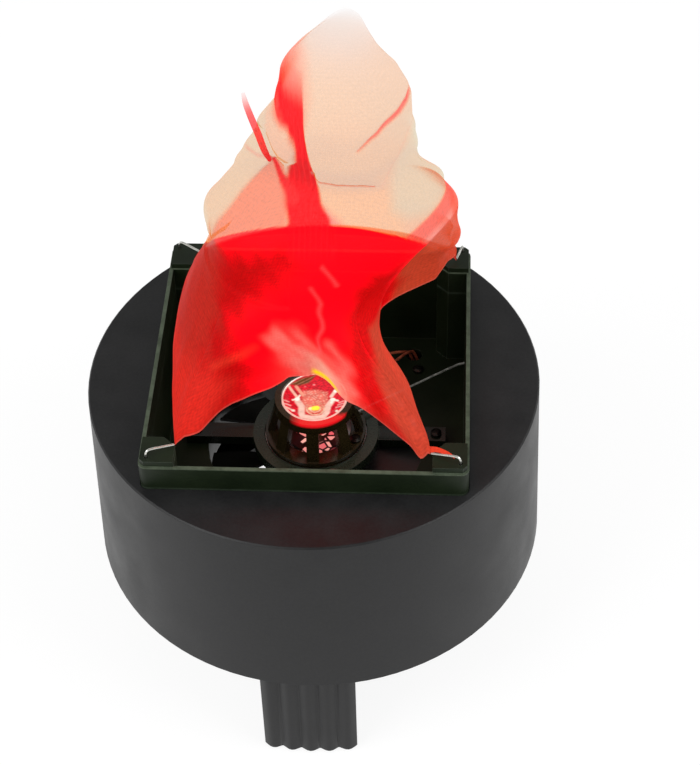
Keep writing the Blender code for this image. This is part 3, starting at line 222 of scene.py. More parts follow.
def moulded(name, dark, light, roughness, grain=0.35, depth=0.03, spread=0.08, **sockets):
    """Moulded plastic: a fine grain in relief, faint clouds in its colour, and rubbed, shinier places."""
    material, tree, shader = new_finish(name, roughness, **sockets)
    where = object_place(tree)
    fine = noise(where, grain * MM, 2.0)
    clouds = noise(where, 24 * MM, 4.0)
    specks = noise(where, 1.6 * MM, 2.0, 0.7)
    share = plus(times(clouds, 0.65), times(specks, 0.35))
    rub = plus(times(clouds, 0.7), times(fine, 0.3))
    feed(shader, Base_Color=blend_colour(remap(share, 0.36, 0.64), dark, light),
         Roughness=remap(rub, 0.3, 0.7, roughness - spread, roughness + spread))
    bumped(shader, fine, depth * MM, 0.6)
    return material


def opened(material):
    """A material's node tree and its shader."""
    return material.node_tree, material.node_tree.nodes["Principled BSDF"]


def painted_over(shader, share, tint):
    """Lays a tint over the shader's own colour by share."""
    own = shader.inputs["Base Color"].links[0].from_socket
    feed(shader, Base_Color=blend_colour(share, own, tint))


def lit_by(shader, share, glow):
    """Makes the finish glow where share is 1."""
    feed(shader, Emission_Color=blend_colour(share, (0, 0, 0), glow))
    shader.inputs["Emission Strength"].default_value = 1.0


def metal(name, dark, light, roughness, lines=0.25, stretch=(1, 1, 12)):
    """Bare metal with drawing or turning lines that run one way, and dull spots."""
    material, tree, shader = new_finish(name, roughness, 1.0)
    where = object_place(tree)
    drawn = node(tree, "Mapping", {"Vector": where, "Scale": tuple(1 / s for s in stretch)}).outputs[0]
    scratch = noise(drawn, lines * MM, 2.0)
    spots = noise(where, 3 * MM, 3.0)
    feed(shader, Base_Color=blend_colour(remap(spots, 0.35, 0.65), dark, light),
         Roughness=remap(scratch, 0.3, 0.7, roughness - 0.1, roughness + 0.12))
    bumped(shader, scratch, 0.01 * MM, 0.4)
    return material


def board_finish():
    """Green solder mask with paler copper tracks under it and tinned pads."""
    material, tree, shader = new_finish("board_mask", 0.32)
    where = object_place(tree)
    tracks = node(tree, "TexBrick", {"Vector": where, "Scale": 160.0, "Mortar Size": 0.035,
                                     "Color1": (0.012, 0.085, 0.03, 1), "Color2": (0.014, 0.1, 0.036, 1),
                                     "Mortar": (0.05, 0.2, 0.07, 1)})
    pads = node(tree, "TexVoronoi", {"Vector": where, "Scale": 1 / (3.2 * MM)})
    pad = remap(pads.outputs["Distance"], 0.16, 0.2, 1, 0)
    feed(shader, Base_Color=blend_colour(pad, tracks.outputs["Color"], (0.45, 0.44, 0.4)),
         Roughness=remap(pad, 0, 1, 0.34, 0.2))
    bumped(shader, pad, 0.04 * MM, 0.5)
    return material


def sleeve(name, dark, light, roughness=0.35):
    """Insulated wire: a soft sheen, slightly uneven along its length, with grime in places."""
    material, tree, shader = new_finish(name, roughness)
    where = object_place(tree)
    patches = noise(where, 2.5 * MM, 3.0)
    feed(shader, Base_Color=blend_colour(remap(patches, 0.38, 0.62), dark, light),
         Roughness=remap(patches, 0.3, 0.7, roughness + 0.1, roughness - 0.06))
    bumped(shader, noise(where, 0.8 * MM, 2.0), 0.02 * MM, 0.5)
    return material


def lens_finish():
    """Clear moulded plastic lit red from below: its colour and glow, the lamp's light painted on it, come
    from its attribute, under a clear gloss with faint flow lines."""
    material, tree, shader = new_finish("lens_clear", 0.08, Emission_Strength=0.85, IOR=1.49)
    tint = node(tree, "Attribute", attribute_name="lit").outputs["Color"]
    flow = noise(object_place(tree), 2.4 * MM, 2.0)
    lit = shaded(tint, remap(flow, 0.3, 0.7, 0.86, 1.12))
    feed(shader, Emission_Color=lit, Base_Color=blend_colour(0.75, lit, (0.02, 0.002, 0.002)),
         Roughness=remap(flow, 0.3, 0.7, 0.05, 0.14))
    bumped(shader, flow, 0.03 * MM, 0.5)
    return material


def emitter_finish():
    """A dome of clear silicone over yellow chips, lit."""
    material, tree, shader = new_finish("emitter_dome", 0.12, Emission_Strength=2.2)
    wires = {"Vector": object_place(tree), "Scale": 1 / (1.1 * MM)}
    cells = node(tree, "TexVoronoi", wires).outputs["Distance"]
    chips = blend_colour(remap(cells, 0.2, 0.5), (1.0, 0.86, 0.3), (0.9, 0.22, 0.05))
    feed(shader, Emission_Color=chips, Base_Color=chips)
    bumped(shader, cells, 0.05 * MM, 0.4)
    return material


def cage_finish():
    """The cage's glossy olive-black plastic, with a painted red glow where the lens lights its rim from
    inside:
    over the top of the band, towards the front."""
    material = moulded("cage_plastic", (0.014, 0.009, 0.0025), (0.034, 0.023, 0.008), 0.2, 0.9, 0.02, 0.05)
    tree, shader = opened(material)
    where = object_place(tree)
    place = split(where)
    uneven = times(noise(where, 3 * MM, 3.0), 5 * MM)
    ahead = remap(math_node("SUBTRACT", place["Y"], uneven), -13 * MM, -16.5 * MM)
    aside = remap(place["X"], -12 * MM, -6 * MM)
    high = remap(place["Z"], LENS_FACE - 2.2 * MM, LENS_FACE - 0.6 * MM)
    # Painted light: the lens's red light on the cage's rim, as a glow
    lit_by(shader, times(times(ahead, aside), high), (0.85, 0.004, 0.012))
    return material


def silk_finish(name):
    """Thin plain-weave silk. Its colour and glow, the lamp's light and shade painted on it, and its cover
    come from its attributes, and its threads run along its UV map, which is in metres of cloth."""
    material, tree, shader = new_finish(name, 0.6, Specular_IOR_Level=0.06, Emission_Strength=1.0)
    uv = node(tree, "UVMap", uv_map="threads").outputs[0]
    threads = [node(tree, "TexWave", {"Vector": uv, "Scale": 2 * math.pi / 20 / pitch, "Distortion": 3.5,
                                      "Detail": 2.0, "Detail Scale": 0.7}, bands_direction=way).outputs["Fac"]
               for way, pitch in (("X", WARP_PITCH), ("Y", WEFT_PITCH))]
    weave = times(plus(threads[0], threads[1]), 0.5)
    slubs = noise(uv, 1.8 * MM, 4.0, 0.7)
    uneven = plus(times(weave, 0.15), times(slubs, 0.85))
    for attribute, socket, dim, bright in (("cloth", "Base_Color", 0.76, 1.16),
                                           ("glow", "Emission_Color", 0.84, 1.12)):
        tint = node(tree, "Attribute", attribute_name=attribute).outputs["Color"]
        feed(shader, **{socket: shaded(tint, remap(uneven, 0.34, 0.66, dim, bright))})
    cover = node(tree, "Attribute", attribute_name="cover").outputs["Fac"]
    feed(shader, Alpha=plus(cover, remap(uneven, 0.34, 0.66, 0.012, -0.012)))
    bumped(shader, uneven, 0.1 * MM, 0.5)
    return material


def ring_finish():
    """The lamp's bracket: a grey-green glossy ring with dark arms, and a painted magenta glint, the lamp's
    reflection as a glow on the ring's front."""
    material = moulded("ring_plastic", (0.011, 0.018, 0.008), (0.03, 0.038, 0.023), 0.26, 1.2, 0.02)
    tree, shader = opened(material)
    where = object_place(tree)
    place = split(where)
    flat = node(tree, "CombineXYZ", {0: place["X"], 1: place["Y"], 2: 0.0}).outputs[0]
    out = vector_sum("LENGTH", flat).outputs["Value"]
    painted_over(shader, remap(out, 33.2 * MM, 34 * MM), (0.003, 0.0055, 0.0022))
    # A painted glint: the lamp's magenta reflection on the ring's front, as a glow broken up by noise
    spot = vector_sum("SUBTRACT", where, (10.5 * MM, -30.5 * MM, 130 * MM)).outputs[0]
    squeezed = vector_sum("MULTIPLY", spot, (1 / (9 * MM), 1 / (4 * MM), 0)).outputs[0]
    near = vector_sum("LENGTH", squeezed).outputs["Value"]
    broken = plus(near, times(noise(where, 3 * MM, 3.0), 0.7))
    lit_by(shader, remap(broken, 1.25, 0.75), (0.22, 0.004, 0.03))
    return material


def tray_finish():
    """The tray's dark plastic, with a painted highlight on the top of its rim and a paler band where it meets
    the drum.
    """
    material = moulded("tray_plastic", (0.003, 0.0075, 0.0015), (0.0075, 0.0145, 0.004), 0.5, 0.6, 0.02,
                       Specular_IOR_Level=0.25)
    tree, shader = opened(material)
    where = object_place(tree)
    high = split(where)["Z"]
    patchiness = remap(noise(where, 5 * MM, 4.0), 0.3, 0.62, 0.45, 1)
    # Patchy paler bands: a painted highlight on the top of the rim, and a paler band where the tray meets the
    # drum
    for low, top, tint in ((TRAY_RIM - 0.5 * MM, TRAY_RIM + 0.4 * MM, (0.085, 0.108, 0.07)),
                           (DRUM_TOP - 0.5 * MM, DRUM_TOP + 0.7 * MM, (0.03, 0.042, 0.028))):
        over, under = remap(high, low - 0.2 * MM, low), remap(high, top, top + 0.2 * MM, 1, 0)
        painted_over(shader, times(times(over, under), patchiness), tint)
    return material


def lamp_board_finish():
    """The lamp's own board: black mask with tinned pads, on which the lamp's pink and magenta reflection is
    painted as a glow.
    """
    material, tree, shader = new_finish("lamp_board_mask", 0.3)
    wires = {"Vector": object_place(tree), "Scale": 1 / (4.5 * MM)}
    gaps = node(tree, "TexVoronoi", wires, feature="DISTANCE_TO_EDGE").outputs["Distance"]
    share = node(tree, "SeparateColor", {0: node(tree, "TexVoronoi", wires).outputs["Color"]}).outputs
    pad = times(remap(gaps, 0.08, 0.14), remap(share[0], 0.36, 0.44))
    feed(shader, Base_Color=blend_colour(pad, (0.006, 0.01, 0.005), (0.4, 0.3, 0.28)))
    # Painted reflection: the lamp's pink and magenta light, as a glow on the pads
    lit_by(shader, pad, blend_colour(share[1], (0.62, 0.015, 0.05), (1.0, 0.5, 0.4)))
    bumped(shader, pad, 0.04 * MM, 0.5)
    return material


def make_finishes():
    """Every finish of the light: those of the record's slots, and a few more of this scene's own."""
    return {
        "shell": moulded("drum_plastic", (0.008, 0.008, 0.0085), (0.0165, 0.0165, 0.017), 0.44, 0.5, 0.03,
                         Specular_IOR_Level=0.3),
        "tray": tray_finish(),
        "fan": moulded("fan_plastic", (0.006, 0.007, 0.006), (0.013, 0.014, 0.012), 0.36, 0.5, 0.02),
        "cage": moulded("socket_plastic", (0.008, 0.0085, 0.008), (0.018, 0.018, 0.017), 0.35, 0.9, 0.02),
        "lens_cage": cage_finish(),
        "ring": ring_finish(),
        "lamp_board": lamp_board_finish(),
        # The tray's rounded edges: a paler finish, a painted highlight where the light catches them
        "edge": moulded("tray_edge_highlight", (0.03, 0.042, 0.026), (0.085, 0.105, 0.078), 0.42, 0.8, 0.02),
        "steel": metal("plated_steel", (0.5, 0.5, 0.46), (0.72, 0.71, 0.66), 0.28),
        "black_steel": metal("blackened_steel", (0.012, 0.012, 0.012), (0.05, 0.048, 0.042), 0.4),
        "aluminium": metal("turned_aluminium", (0.5, 0.51, 0.52), (0.66, 0.67, 0.68), 0.34, 0.3, (1, 1, 1)),
        "copper": metal("copper_windings", (0.5, 0.2, 0.09), (0.72, 0.34, 0.16), 0.3, 0.3, (6, 6, 1)),
        "magnet": moulded("ferrite", (0.05, 0.043, 0.04), (0.08, 0.07, 0.065), 0.6, 0.3, 0.04),
        "board": board_finish(),
        "emitter": emitter_finish(),
        "lens": lens_finish(),
        "rubber": moulded("rubber_pad", (0.014, 0.014, 0.014), (0.026, 0.026, 0.025), 0.8, 0.4, 0.06),
        "red_wire": sleeve("copper_red_sleeve", (0.3, 0.05, 0.025), (0.6, 0.14, 0.07)),
        "grey_wire": sleeve("grey_sleeve", (0.2, 0.2, 0.18), (0.42, 0.42, 0.38)),
        "component": moulded("component_body", (0.03, 0.03, 0.045), (0.06, 0.06, 0.085), 0.4, 0.5, 0.03),
    }


# ---- the stage

def emptied(owner):
    """The node tree of a material or world, with nothing in it."""
    owner.use_nodes = True
    owner.node_tree.nodes.clear()
    return owner.node_tree


def add_stage():
    """A pale floor, a pale world and two soft lamps. The floor is white to the eye, to glossy and to
    transmitted rays, the world to the eye and to transmitted rays, and the floor keeps the light's shadow."""
    material = bpy.data.materials.new("pale_floor")
    tree = emptied(material)
    rays = node(tree, "LightPath").outputs
    clear = math_node("MAXIMUM", rays["Is Glossy Ray"], rays["Is Transmission Ray"])
    seen = math_node("MAXIMUM", rays["Is Camera Ray"], clear)
    paint = node(tree, "BsdfDiffuse", {"Color": FLOOR_GREY})
    bright = node(tree, "Emission", {"Color": WHITE, "Strength": times(seen, FLOOR_GLOW)})
    total = node(tree, "AddShader", {0: paint.outputs[0], 1: bright.outputs[0]})
    node(tree, "OutputMaterial", {0: total.outputs[0]})
    mesh = bpy.data.meshes.new("floor")
    corners = [(x * FLOOR_REACH, y * FLOOR_REACH, 0) for x, y in ((-1, -1), (1, -1), (1, 1), (-1, 1))]
    mesh.from_pydata(corners, [], [(0, 1, 2, 3)])
    mesh.materials.append(material)
    new_object("floor", mesh)

    world = bpy.data.worlds.new("studio")
    tree = emptied(world)
    sky = remap(split(node(tree, "TexCoord").outputs["Generated"])["Z"], 0.1, 0.6, 1.0, 0.42)
    rays = node(tree, "LightPath").outputs
    seen = math_node("MAXIMUM", rays["Is Camera Ray"], rays["Is Transmission Ray"])
    level = node(tree, "Mix", {0: seen, 2: sky, 3: 1.0}, data_type="FLOAT")
    light = node(tree, "Background", {"Color": WHITE, "Strength": level.outputs[0]})
    node(tree, "OutputWorld", {0: light.outputs[0]})
    bpy.context.scene.world = world

    for name, spot, side, power in STUDIO_LAMPS:
        data = bpy.data.lights.new(name, "AREA")
        data.shape = "SQUARE"
        data.size = side
        data.energy = power
        aim = Vector(LAMP_TARGET) - Vector(spot)
        turned = aim.to_track_quat("-Z", "Y").to_matrix().to_4x4()
        new_object(name, data).matrix_world = Matrix.Translation(spot) @ turned
    bpy.context.scene.view_settings.view_transform = "Standard"


# ---- meshes

def add_piece(name, points, faces, finish):
    """A new smooth piece from points and faces, which rides on the lamp and takes its slot."""
    mesh = bpy.data.meshes.new(name)
    mesh.from_pydata(points.tolist(), [], faces)
    mesh.update()
    mesh.materials.append(finish)
    mesh.shade_smooth()
    piece = new_object(name, mesh)
    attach(piece, "lamp")
    return piece


def add_colours(mesh, name, colours):
    """A colour attribute with one colour for each point."""
    values = np.column_stack([colours, np.ones(len(colours))]).astype(np.float32)
    mesh.attributes.new(name, "FLOAT_COLOR", "POINT").data.foreach_set("color", values.ravel())


def ring_faces(rows, columns, closed=True):
    """The quads of a grid whose columns run round and whose rows run up."""
    i, j = np.meshgrid(np.arange(rows - 1), np.arange(columns if closed else columns - 1), indexing="ij")
    i, j = i.ravel(), j.ravel()
    k = (j + 1) % columns
    corners = (i * columns + j, i * columns + k, (i + 1) * columns + k, (i + 1) * columns + j)
    return np.stack(corners, 1)


def softened(node_name, finishes, width):
    """A copy of a CAD node's mesh, merged, with its flat faces joined and its edges rounded by width in
    mm. Its rounded edges take the last finish."""
    source = frame["nodes"][node_name]
    mesh = bpy.data.meshes.new(node_name + "_soft")
    work = bmesh.new()
    work.from_mesh(source.data)
    bmesh.ops.remove_doubles(work, verts=work.verts, dist=SAME_POINT)
    bmesh.ops.dissolve_limit(work, angle_limit=FLAT_ANGLE, verts=work.verts, edges=work.edges)
    work.to_mesh(mesh)
    work.free()
    for finish in finishes:
        mesh.materials.append(finish)
    mesh.polygons.foreach_set("material_index", np.zeros(len(mesh.polygons), np.int32))
    mesh.shade_smooth()
    mesh.set_sharp_from_angle(angle=EDGE_ANGLE)
    piece = new_object(node_name + "_soft", mesh)
    bevel = piece.modifiers.new("rounded", "BEVEL")
    bevel.width = width * MM
    bevel.segments = 2
    bevel.limit_method = "ANGLE"
    bevel.angle_limit = EDGE_ANGLE
    bevel.harden_normals = True
    bevel.use_clamp_overlap = True
    bevel.material = len(finishes) - 1
    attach(piece, source["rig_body"])
    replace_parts(piece, node_name)
    return piece


# ---- the silk

# The cloth's size when cut flat, in metres, how much of its lit colour it reflects and glows with, and
# the pitch of its threads as they show
SILK_GIRTH, SILK_LENGTH, SILK_AREA = 0.36, 0.22, 0.056
CLOTH_SHADE, GLOW = 0.62, 0.56
WARP_PITCH, WEFT_PITCH = 1.5 * MM, 1.7 * MM
STRIP_COLUMNS, STRIP_ROWS = 9, 90

# The part's own sizes for the cloth: its corners, its arches (bow, rise, skew and the sharpness of each
# end) and its reach at each level, in hundredths of CLIP_PIN, and its lobes (bearing, half width,
# levels and how proud)
CLIP_PIN = 75.3189 * MM
SILK_TOP = 224 * MM
SILK_LIFT = 0.3 * MM
SILK_GATHER = 55 * MM
SILK_FOOT = 40 * MM
SILK_CORNERS = np.array(((81, -93), (95.5, 90), (-83.5, 93), (-82.5, -90)))
SILK_ARCHES = np.array(((44, 22.5, 1.18, 1.3, 3), (16, 34.5, 1, 1.2, 1.2), (-7.5, 10.5, 1, 1, 1),
                        (45, 26.5, 0.97, 1.8, 1.8)))
SILK_LEVELS = (18, 28, 38.5, 47.5, 55.5, 60, 65, 71.5, 78.5, 85, 89.5, 94, 97.5, 100)
SILK_LEFT = (-74, -72, -65, -56, -40, -25, -17, -16, -16, -13, -5, 8, 18.5, 28)
SILK_RIGHT = (42, 48, 66, 82, 77, 68, 62, 66, 66, 60, 50, 42, 37, 28)
SILK_FRONT = (-50, -53, -49, -41, -28, -21, -29, -40, -40, -32, -23, -13, -7, 3)
SILK_BACK = (69, 66, 60, 52, 42, 39, 40, 42, 40, 32, 24, 16, 9, 3)
SILK_LOBES = ((186, 0.45, (40, 47.5, 55.5, 62.5, 69, 74, 75.5, 77), (0, -5, -11, -20, -17, -13, -4, 0)),
              (8, 0.5, (38.5, 44.5, 52, 58, 64, 69, 73), (0, 2, 5, 12, 13, 4, 0)),
              (42, 0.62, (18, 28, 38.5, 47.5, 55.5, 62.5), (56, 58, 40, 16, 4, 0)))
SILK_COLUMNS, SILK_ROWS = 416, 236


def unit(vectors):
    """Each row made one long."""
    return vectors / np.linalg.norm(vectors, axis=1)[:, None]


def eased(x, low, high):
    """From 0 at low to 1 at high, level at both ends."""
    t = np.clip((x - low) / (high - low), 0, 1)
    return t * t * (3 - 2 * t)


def through(x, spots, values):
    """A smooth curve through values at rising spots, which never passes beyond them."""
    spots, values = np.array(spots, float), np.array(values, float)
    width = np.diff(spots)
    slope = np.diff(values) / width
    lean = np.array((slope[0], *np.zeros(len(slope) - 1), slope[-1]))
    same = slope[:-1] * slope[1:] > 0
    lean[1:-1][same] = (2 * slope[:-1] * slope[1:])[same] / (slope[:-1] + slope[1:])[same]
    x = np.clip(x, spots[0], spots[-1])
    i = np.clip(np.searchsorted(spots, x, side="right") - 1, 0, len(width) - 1)
    t = (x - spots[i]) / width[i]
    rise = values[i + 1] - values[i]
    bend = t * (1 - t) ** 2 * lean[i] - t * t * (1 - t) * lean[i + 1]
    return values[i] + t * t * (3 - 2 * t) * rise + bend * width[i]


def silk_edge(turn):
    """The free edge: four arches between the clips, each a bow inwards and a rise over its span."""
    side = np.floor(turn * 4).astype(int) % 4
    along = turn * 4 - np.floor(turn * 4)
    bow, rise, skew, start, end = SILK_ARCHES[side].T
    arch = 4 * along ** skew * (1 - along ** skew)
    bow = bow * arch ** np.where(along ** skew < 0.5, start, end)
    first, last = SILK_CORNERS[side], SILK_CORNERS[(side + 1) % 4]
    span = last - first
    inward = unit(np.stack([-span[:, 1], span[:, 0]], 1))
    spot = (first + span * along[:, None] + inward * bow[:, None]) * CLIP_PIN / 100
    return spot, POST_TOP + SILK_LIFT + rise * CLIP_PIN / 100 * arch ** 0.8


def silk_section(height, angle):
    """The flame's oval cross-section with its lobes."""
    level = (height - DRUM_TOP) / SILK_TOP * 100
    left, right, front, back = (
        through(level, SILK_LEVELS, reach) for reach in (SILK_LEFT, SILK_RIGHT, SILK_FRONT, SILK_BACK))
    x = (left + right) / 2 + (right - left) / 2 * np.cos(angle)
    y = (front + back) / 2 + (back - front) / 2 * np.sin(angle)
    for bearing, half_width, heights, proud in SILK_LOBES:
        off = (angle - math.radians(bearing) + math.pi) % (2 * math.pi) - math.pi
        x = x + through(level, heights, proud) * np.exp(-(off / half_width) ** 2)
    return np.stack([x, y], 1) * CLIP_PIN / 100


def silk_points(turn, share):
    """The silk before its folds: each column runs from the edge curve, at share 0, up through the oval
    sections to the tip, at share 1."""
    edge, low = silk_edge(turn)
    height = low + (DRUM_TOP + SILK_TOP - low) * share
    body = silk_section(np.maximum(height, DRUM_TOP + SILK_FOOT), 2 * math.pi * turn - math.pi / 4)
    pull = eased(height, low - SILK_GATHER / 28, low + SILK_GATHER)[:, None]
    return np.column_stack([edge + (body - edge) * pull, height])


def mm_place(points):
    """Points in mm, over the drum's top."""
    return (points - (0, 0, DRUM_TOP)) / MM


def from_line(spots, a, b):
    """How far each spot is from the line between a and b, and the share of the line to its nearest point."""
    along = np.clip((spots - a) @ (b - a) / ((b - a) @ (b - a)), 0, 1)
    return np.linalg.norm(spots - a - along[:, None] * (b - a), axis=1), along


def stroke(spots, path, half_width, softness):
    """How near each spot is to a path, from 1 on it to 0 beyond half_width and softness. half_width
    may change along the path. All in mm."""
    path = np.array(path, float)
    half = np.broadcast_to(np.array(half_width, float), len(path))
    near = np.zeros(len(spots))
    for a, b, wide_a, wide_b in zip(path[:-1], path[1:], half[:-1], half[1:]):
        off, along = from_line(spots, a, b)
        wide = wide_a + (wide_b - wide_a) * along
        near = np.maximum(near, 1 - eased(off, wide - softness / 2, wide + softness / 2))
    return near


def trace(spots, path, half_width, softness):
    """A stroke seen square from the front: its path gives places sideways and upwards."""
    return stroke(spots * (1, 0, 1), [(x, 0, z) for x, z in path], half_width, softness)


def patch(spots, outline, softness):
    """How far inside an outline each spot is, seen square from the front: 1 inside, 0 outside, with a
    soft edge. The outline is in mm, sideways and upwards."""
    flat, corners = spots[:, (0, 2)], np.array(outline, float)
    inside = np.zeros(len(flat), bool)
    off = np.full(len(flat), 1e9)
    for a, b in zip(corners, np.roll(corners, -1, axis=0)):
        off = np.minimum(off, from_line(flat, a, b)[0])
        crosses = (a[1] > flat[:, 1]) != (b[1] > flat[:, 1])
        rise = np.where(b[1] == a[1], 1e-9, b[1] - a[1])
        inside ^= crosses & (flat[:, 0] < (b[0] - a[0]) * (flat[:, 1] - a[1]) / rise + a[0])
    return eased(np.where(inside, off, -off), -softness / 2, softness / 2)


def ripples(turn, share, seed, count, finest):
    """Smooth uneven waves over the cloth, a sum of sines with seeded directions, between -1 and 1."""
    rng = np.random.default_rng(seed)
    total = np.zeros(len(turn))
    for k in range(count):
        round_about = rng.integers(1, finest)
        upward = rng.uniform(0.5, finest / 2)
        phase = round_about * turn + upward * share + rng.random()
        total += np.sin(2 * math.pi * phase) / math.sqrt(round_about)
    return total / np.abs(total).max()


# Outlines and paths on the cloth, seen square from the front: mm sideways and over the drum's top
PLEAT = ((-15, 184), (-10, 200), (3, 200), (3, 190), (3, 180), (4, 166), (5, 158), (6, 146), (7, 137),
         (9, 129), (13, 123), (15, 113), (16, 104), (-8, 104), (-7, 112), (-7, 121), (-8.5, 127),
         (-8.5, 133), (-6.5, 146), (-2.5, 154), (-2.5, 164), (-6, 174))
PLEAT_FLARE = ((10, 128), (18, 122), (27, 104), (10, 104))
BULB_LEFT = ((-18, 172), (-14, 194), (-4, 208), (3, 206), (5, 192), (2, 178), (-8, 172))
PETAL = ((-16, 169), (-12, 171), (-8, 171), (-4, 168), (-2, 162), (-4.5, 155), (-9, 155), (-12, 159),
         (-15, 165))
TONGUE = ((-5, 130), (-9, 134.5), (-10.5, 138), (-12, 145), (-14, 151))
LEFT_EDGE = ((-39, 111), (-29, 126), (-21, 135), (-16, 143))
LEFT_PALE = ((-70, 96), (-44, 98), *LEFT_EDGE, (-12, 153), (-14, 170), (-40, 180))
LEFT_FOLD = ((-62, 98), (-46, 97), *LEFT_EDGE, (-12, 152), (-8, 146), (-8, 128), (-6, 82), (-62, 82))
LEFT_CREASE = ((-25, 149), (-20, 148), (-15, 150))
CREASE = ((27, 170), (33, 175), (41, 179), (49, 181))
# The overhang's edge: a groove, and a painted shadow, a thin darker line under it
OVERHANG = ((4, 146), (6, 142), (9, 139), (16, 138), (27, 138.5), (33, 137))
RIGHT_FOLD_LINE = ((36, 136), (40, 144), (46, 160), (51, 166))
UNDERHANG = ((6, 137), (38, 134), (47, 117), (46, 84), (8, 84), (12, 124))
RIGHT_PALE = ((42, 124), (48, 119), (58, 116), (80, 122), (80, 134), (60, 142), (52, 162), (45, 152),
              (41, 134))
RIGHT_STRIP = ((44, 110), (56, 114), (80, 121), (80, 66), (66, 66), (50, 88))
# A painted highlight: a brighter pink-red band across the right strip
RIGHT_BAND = ((48, 101), (62, 106), (80, 108), (80, 101), (62, 98))
# The right flap, outside the lamp's beam: painted shade, a duller orange
RIGHT_FLAP = ((44, 84), (60, 94), (80, 92), (84, 20), (60, 22), (38, 30), (44, 60))
RIGHT_CHEEK = ((56, 60), (60, 97), (84, 99), (84, 58))
RIGHT_LEG = ((31, 62), (37, 64), (44, 50), (60, 36), (80, 30), (80, 0), (58, 14), (44, 34), (35, 50))
# The left strip, outside the lamp's beam: painted shade, a duller red
LEFT_STRIP = ((-43, 101), (-42, 84), (-41, 68), (-47, 57), (-54, 44), (-62, 28), (-90, 10), (-90, 60),
              (-58, 110))
LEFT_KNEE = ((-66, 42), (-46, 52), (-34, 44), (-48, 24), (-70, 16))
# A fold in the lower front: a hollow, and painted shade, a darker red
SHADED_FOLD = ((-38, 94), (-5, 108), (-2, 98), (-19, 84), (-36, 76), (-43, 82))
SHADE_LEFT = ((-70, 88), (-34, 98), (-9, 105), (-23, 90), (-26, 82), (-34, 71), (-34, 64), (-28, 52),
              (-26, 42), (-30, 34), (-40, 30), (-66, 24))
SHADE_RIGHT = ((46, 92), (33, 92), (26, 83), (22, 69), (22, 60), (25, 48), (36, 32), (44, 40), (42, 70))
# The lamp's hot spot on the lower front: painted light, a pink glow, and its brightest streaks
HOT_CLOUD = ((-16, 66), (-9, 72), (-1, 69), (4, 62), (10, 56), (17, 51), (19, 40), (12, 36), (2, 40),
             (-6, 46), (-12, 54))
HOT_PLACES = ((((-15, 68), (-12, 62), (-6, 50), (-2, 40)), 2.4), (((-2, 57), (3, 49), (12, 39)), 2),
              (((14, 62), (20, 54), (23, 40)), 1.8))
# Painted highlights: thin bright streaks up the lower front
HIGHLIGHT_STREAKS = (((5, 92), (8, 84), (9, 75), (8, 66), (7, 56), (4, 50)), ((10, 102), (13, 97), (16, 93)))
# A catch of light across the lower left, in mm sideways, back and over the drum's top
KNEE_GLEAM = ((-43, -48, 53), (-36, -46, 55), (-29, -43, 57), (-24, -40, 60))
# How far the front hem hangs, in mm, by its place round the cloth, and the same for the right one
HEM_TURNS = (0.76, 0.766, 0.776, 0.785, 0.794, 0.803, 0.812, 0.821, 0.84, 0.8515, 0.859, 0.871, 0.877,
             0.882, 0.889, 0.897, 0.909, 0.915, 0.931, 0.96, 0.98, 0.99, 0.9985)
HEM_DROPS = (0, 1.9, 4, 2.8, 2, 2.6, 4, 5, 6.2, 4.9, 3, 3, 2.9, 1.4, 1.9, 3.3, 7.3, 8.4, 6.8, 5, 4.1, 6.2,
             0)
RIGHT_HEM_TURNS = (0.14, 0.165, 0.19, 0.205, 0.213, 0.223, 0.24, 0.25)
RIGHT_HEM_DROPS = (0, 2.6, 3.3, 3.2, 0, -3.4, -3.4, 0)

# The drum's rear rim as the view sees it through the cloth: red below it, and pale above
SIGHT_SLOPE = 0.866
RIM_LINE = (101.4, 0.05, -0.0039)
# The lamp's beam painted on the cloth as light: its depth, the angles over which it fades, and the cloth's
# red outside and in it
BEAM_DEPTH = 17
BEAM_ANGLES = (42, 58)
RED_ASIDE, RED_IN_BEAM = (0.62, 0.02, 0.012), (1.32, 0.0, 0.008)
# The lamp's light on the pale cloth over the rim, painted as a tint by height, and the cloth's cover by
# height
PALE_HEIGHTS = (112, 126, 150, 195, 215)
PALE_TINTS = ((0.93, 0.93, 0.8, 0.88, 0.84), (0.3, 0.31, 0.33, 0.36, 0.46), (0.03, 0.02, 0.02, 0.07, 0.3))
COVER_HEIGHTS = (112, 126, 150, 190, 203, 212, 221)
UPPER_COVERS = (0.4, 0.38, 0.34, 0.31, 0.28, 0.17, 0.01)
REAR_FOLDS = ((0.34, 2.2), (0.41, 3.2), (0.53, 2.0), (0.6, 2.6))
# The two loose strips: path, half widths, facing, and colour and cover at their root, middle and end
TONGUE_PATH = ((-13.6, -13, 150), (-15.6, -15, 158), (-18.5, -12, 166), (-22, -7, 172), (-24, -4, 176),
               (-25, -2, 180))
TONGUE_WIDTHS = (0.9, 1.5, 1.6, 1.5, 1.3, 0.8)
TONGUE_TINTS = ((0.95, 0.004, 0.01), (0.95, 0.02, 0.02), (0.97, 0.3, 0.26))
EAR_PATH = ((59, -68, 19.8), (64, -69.5, 21), (68.5, -71, 20.8), (72.5, -73, 19.8))
EAR_WIDTHS = (1.7, 1.3, 0.9, 0.5)
EAR_TINTS = ((0.8, 0.05, 0.02),) * 3
# Swellings and hollows of the cloth: depth, middle and reach, in mm
SWELLINGS = ((4, (-46, 0, 113), (10, 99, 12)), (-3, (-24, 0, 163), (9, 30, 9)),
             (-6.5, (60, 10, 139), (14, 40, 12)), (2.6, (71, 24, 95), (13, 40, 18)),
             (5, (71, 42, 60), (12, 18, 16)), (-4.5, (40, -20, 54), (14, 20, 18)))


def laid(colour, tint, weight):
    """A colour with a tint laid over it by weight."""
    return colour + (np.array(tint) - colour) * weight[:, None]


def pleat(spots, softness):
    """How far a spot is in the pleat, which fades out at its top and foot."""
    height = spots[:, 2]
    return patch(spots, PLEAT, softness) * eased(height, 205, 184) * eased(height, 102, 118)


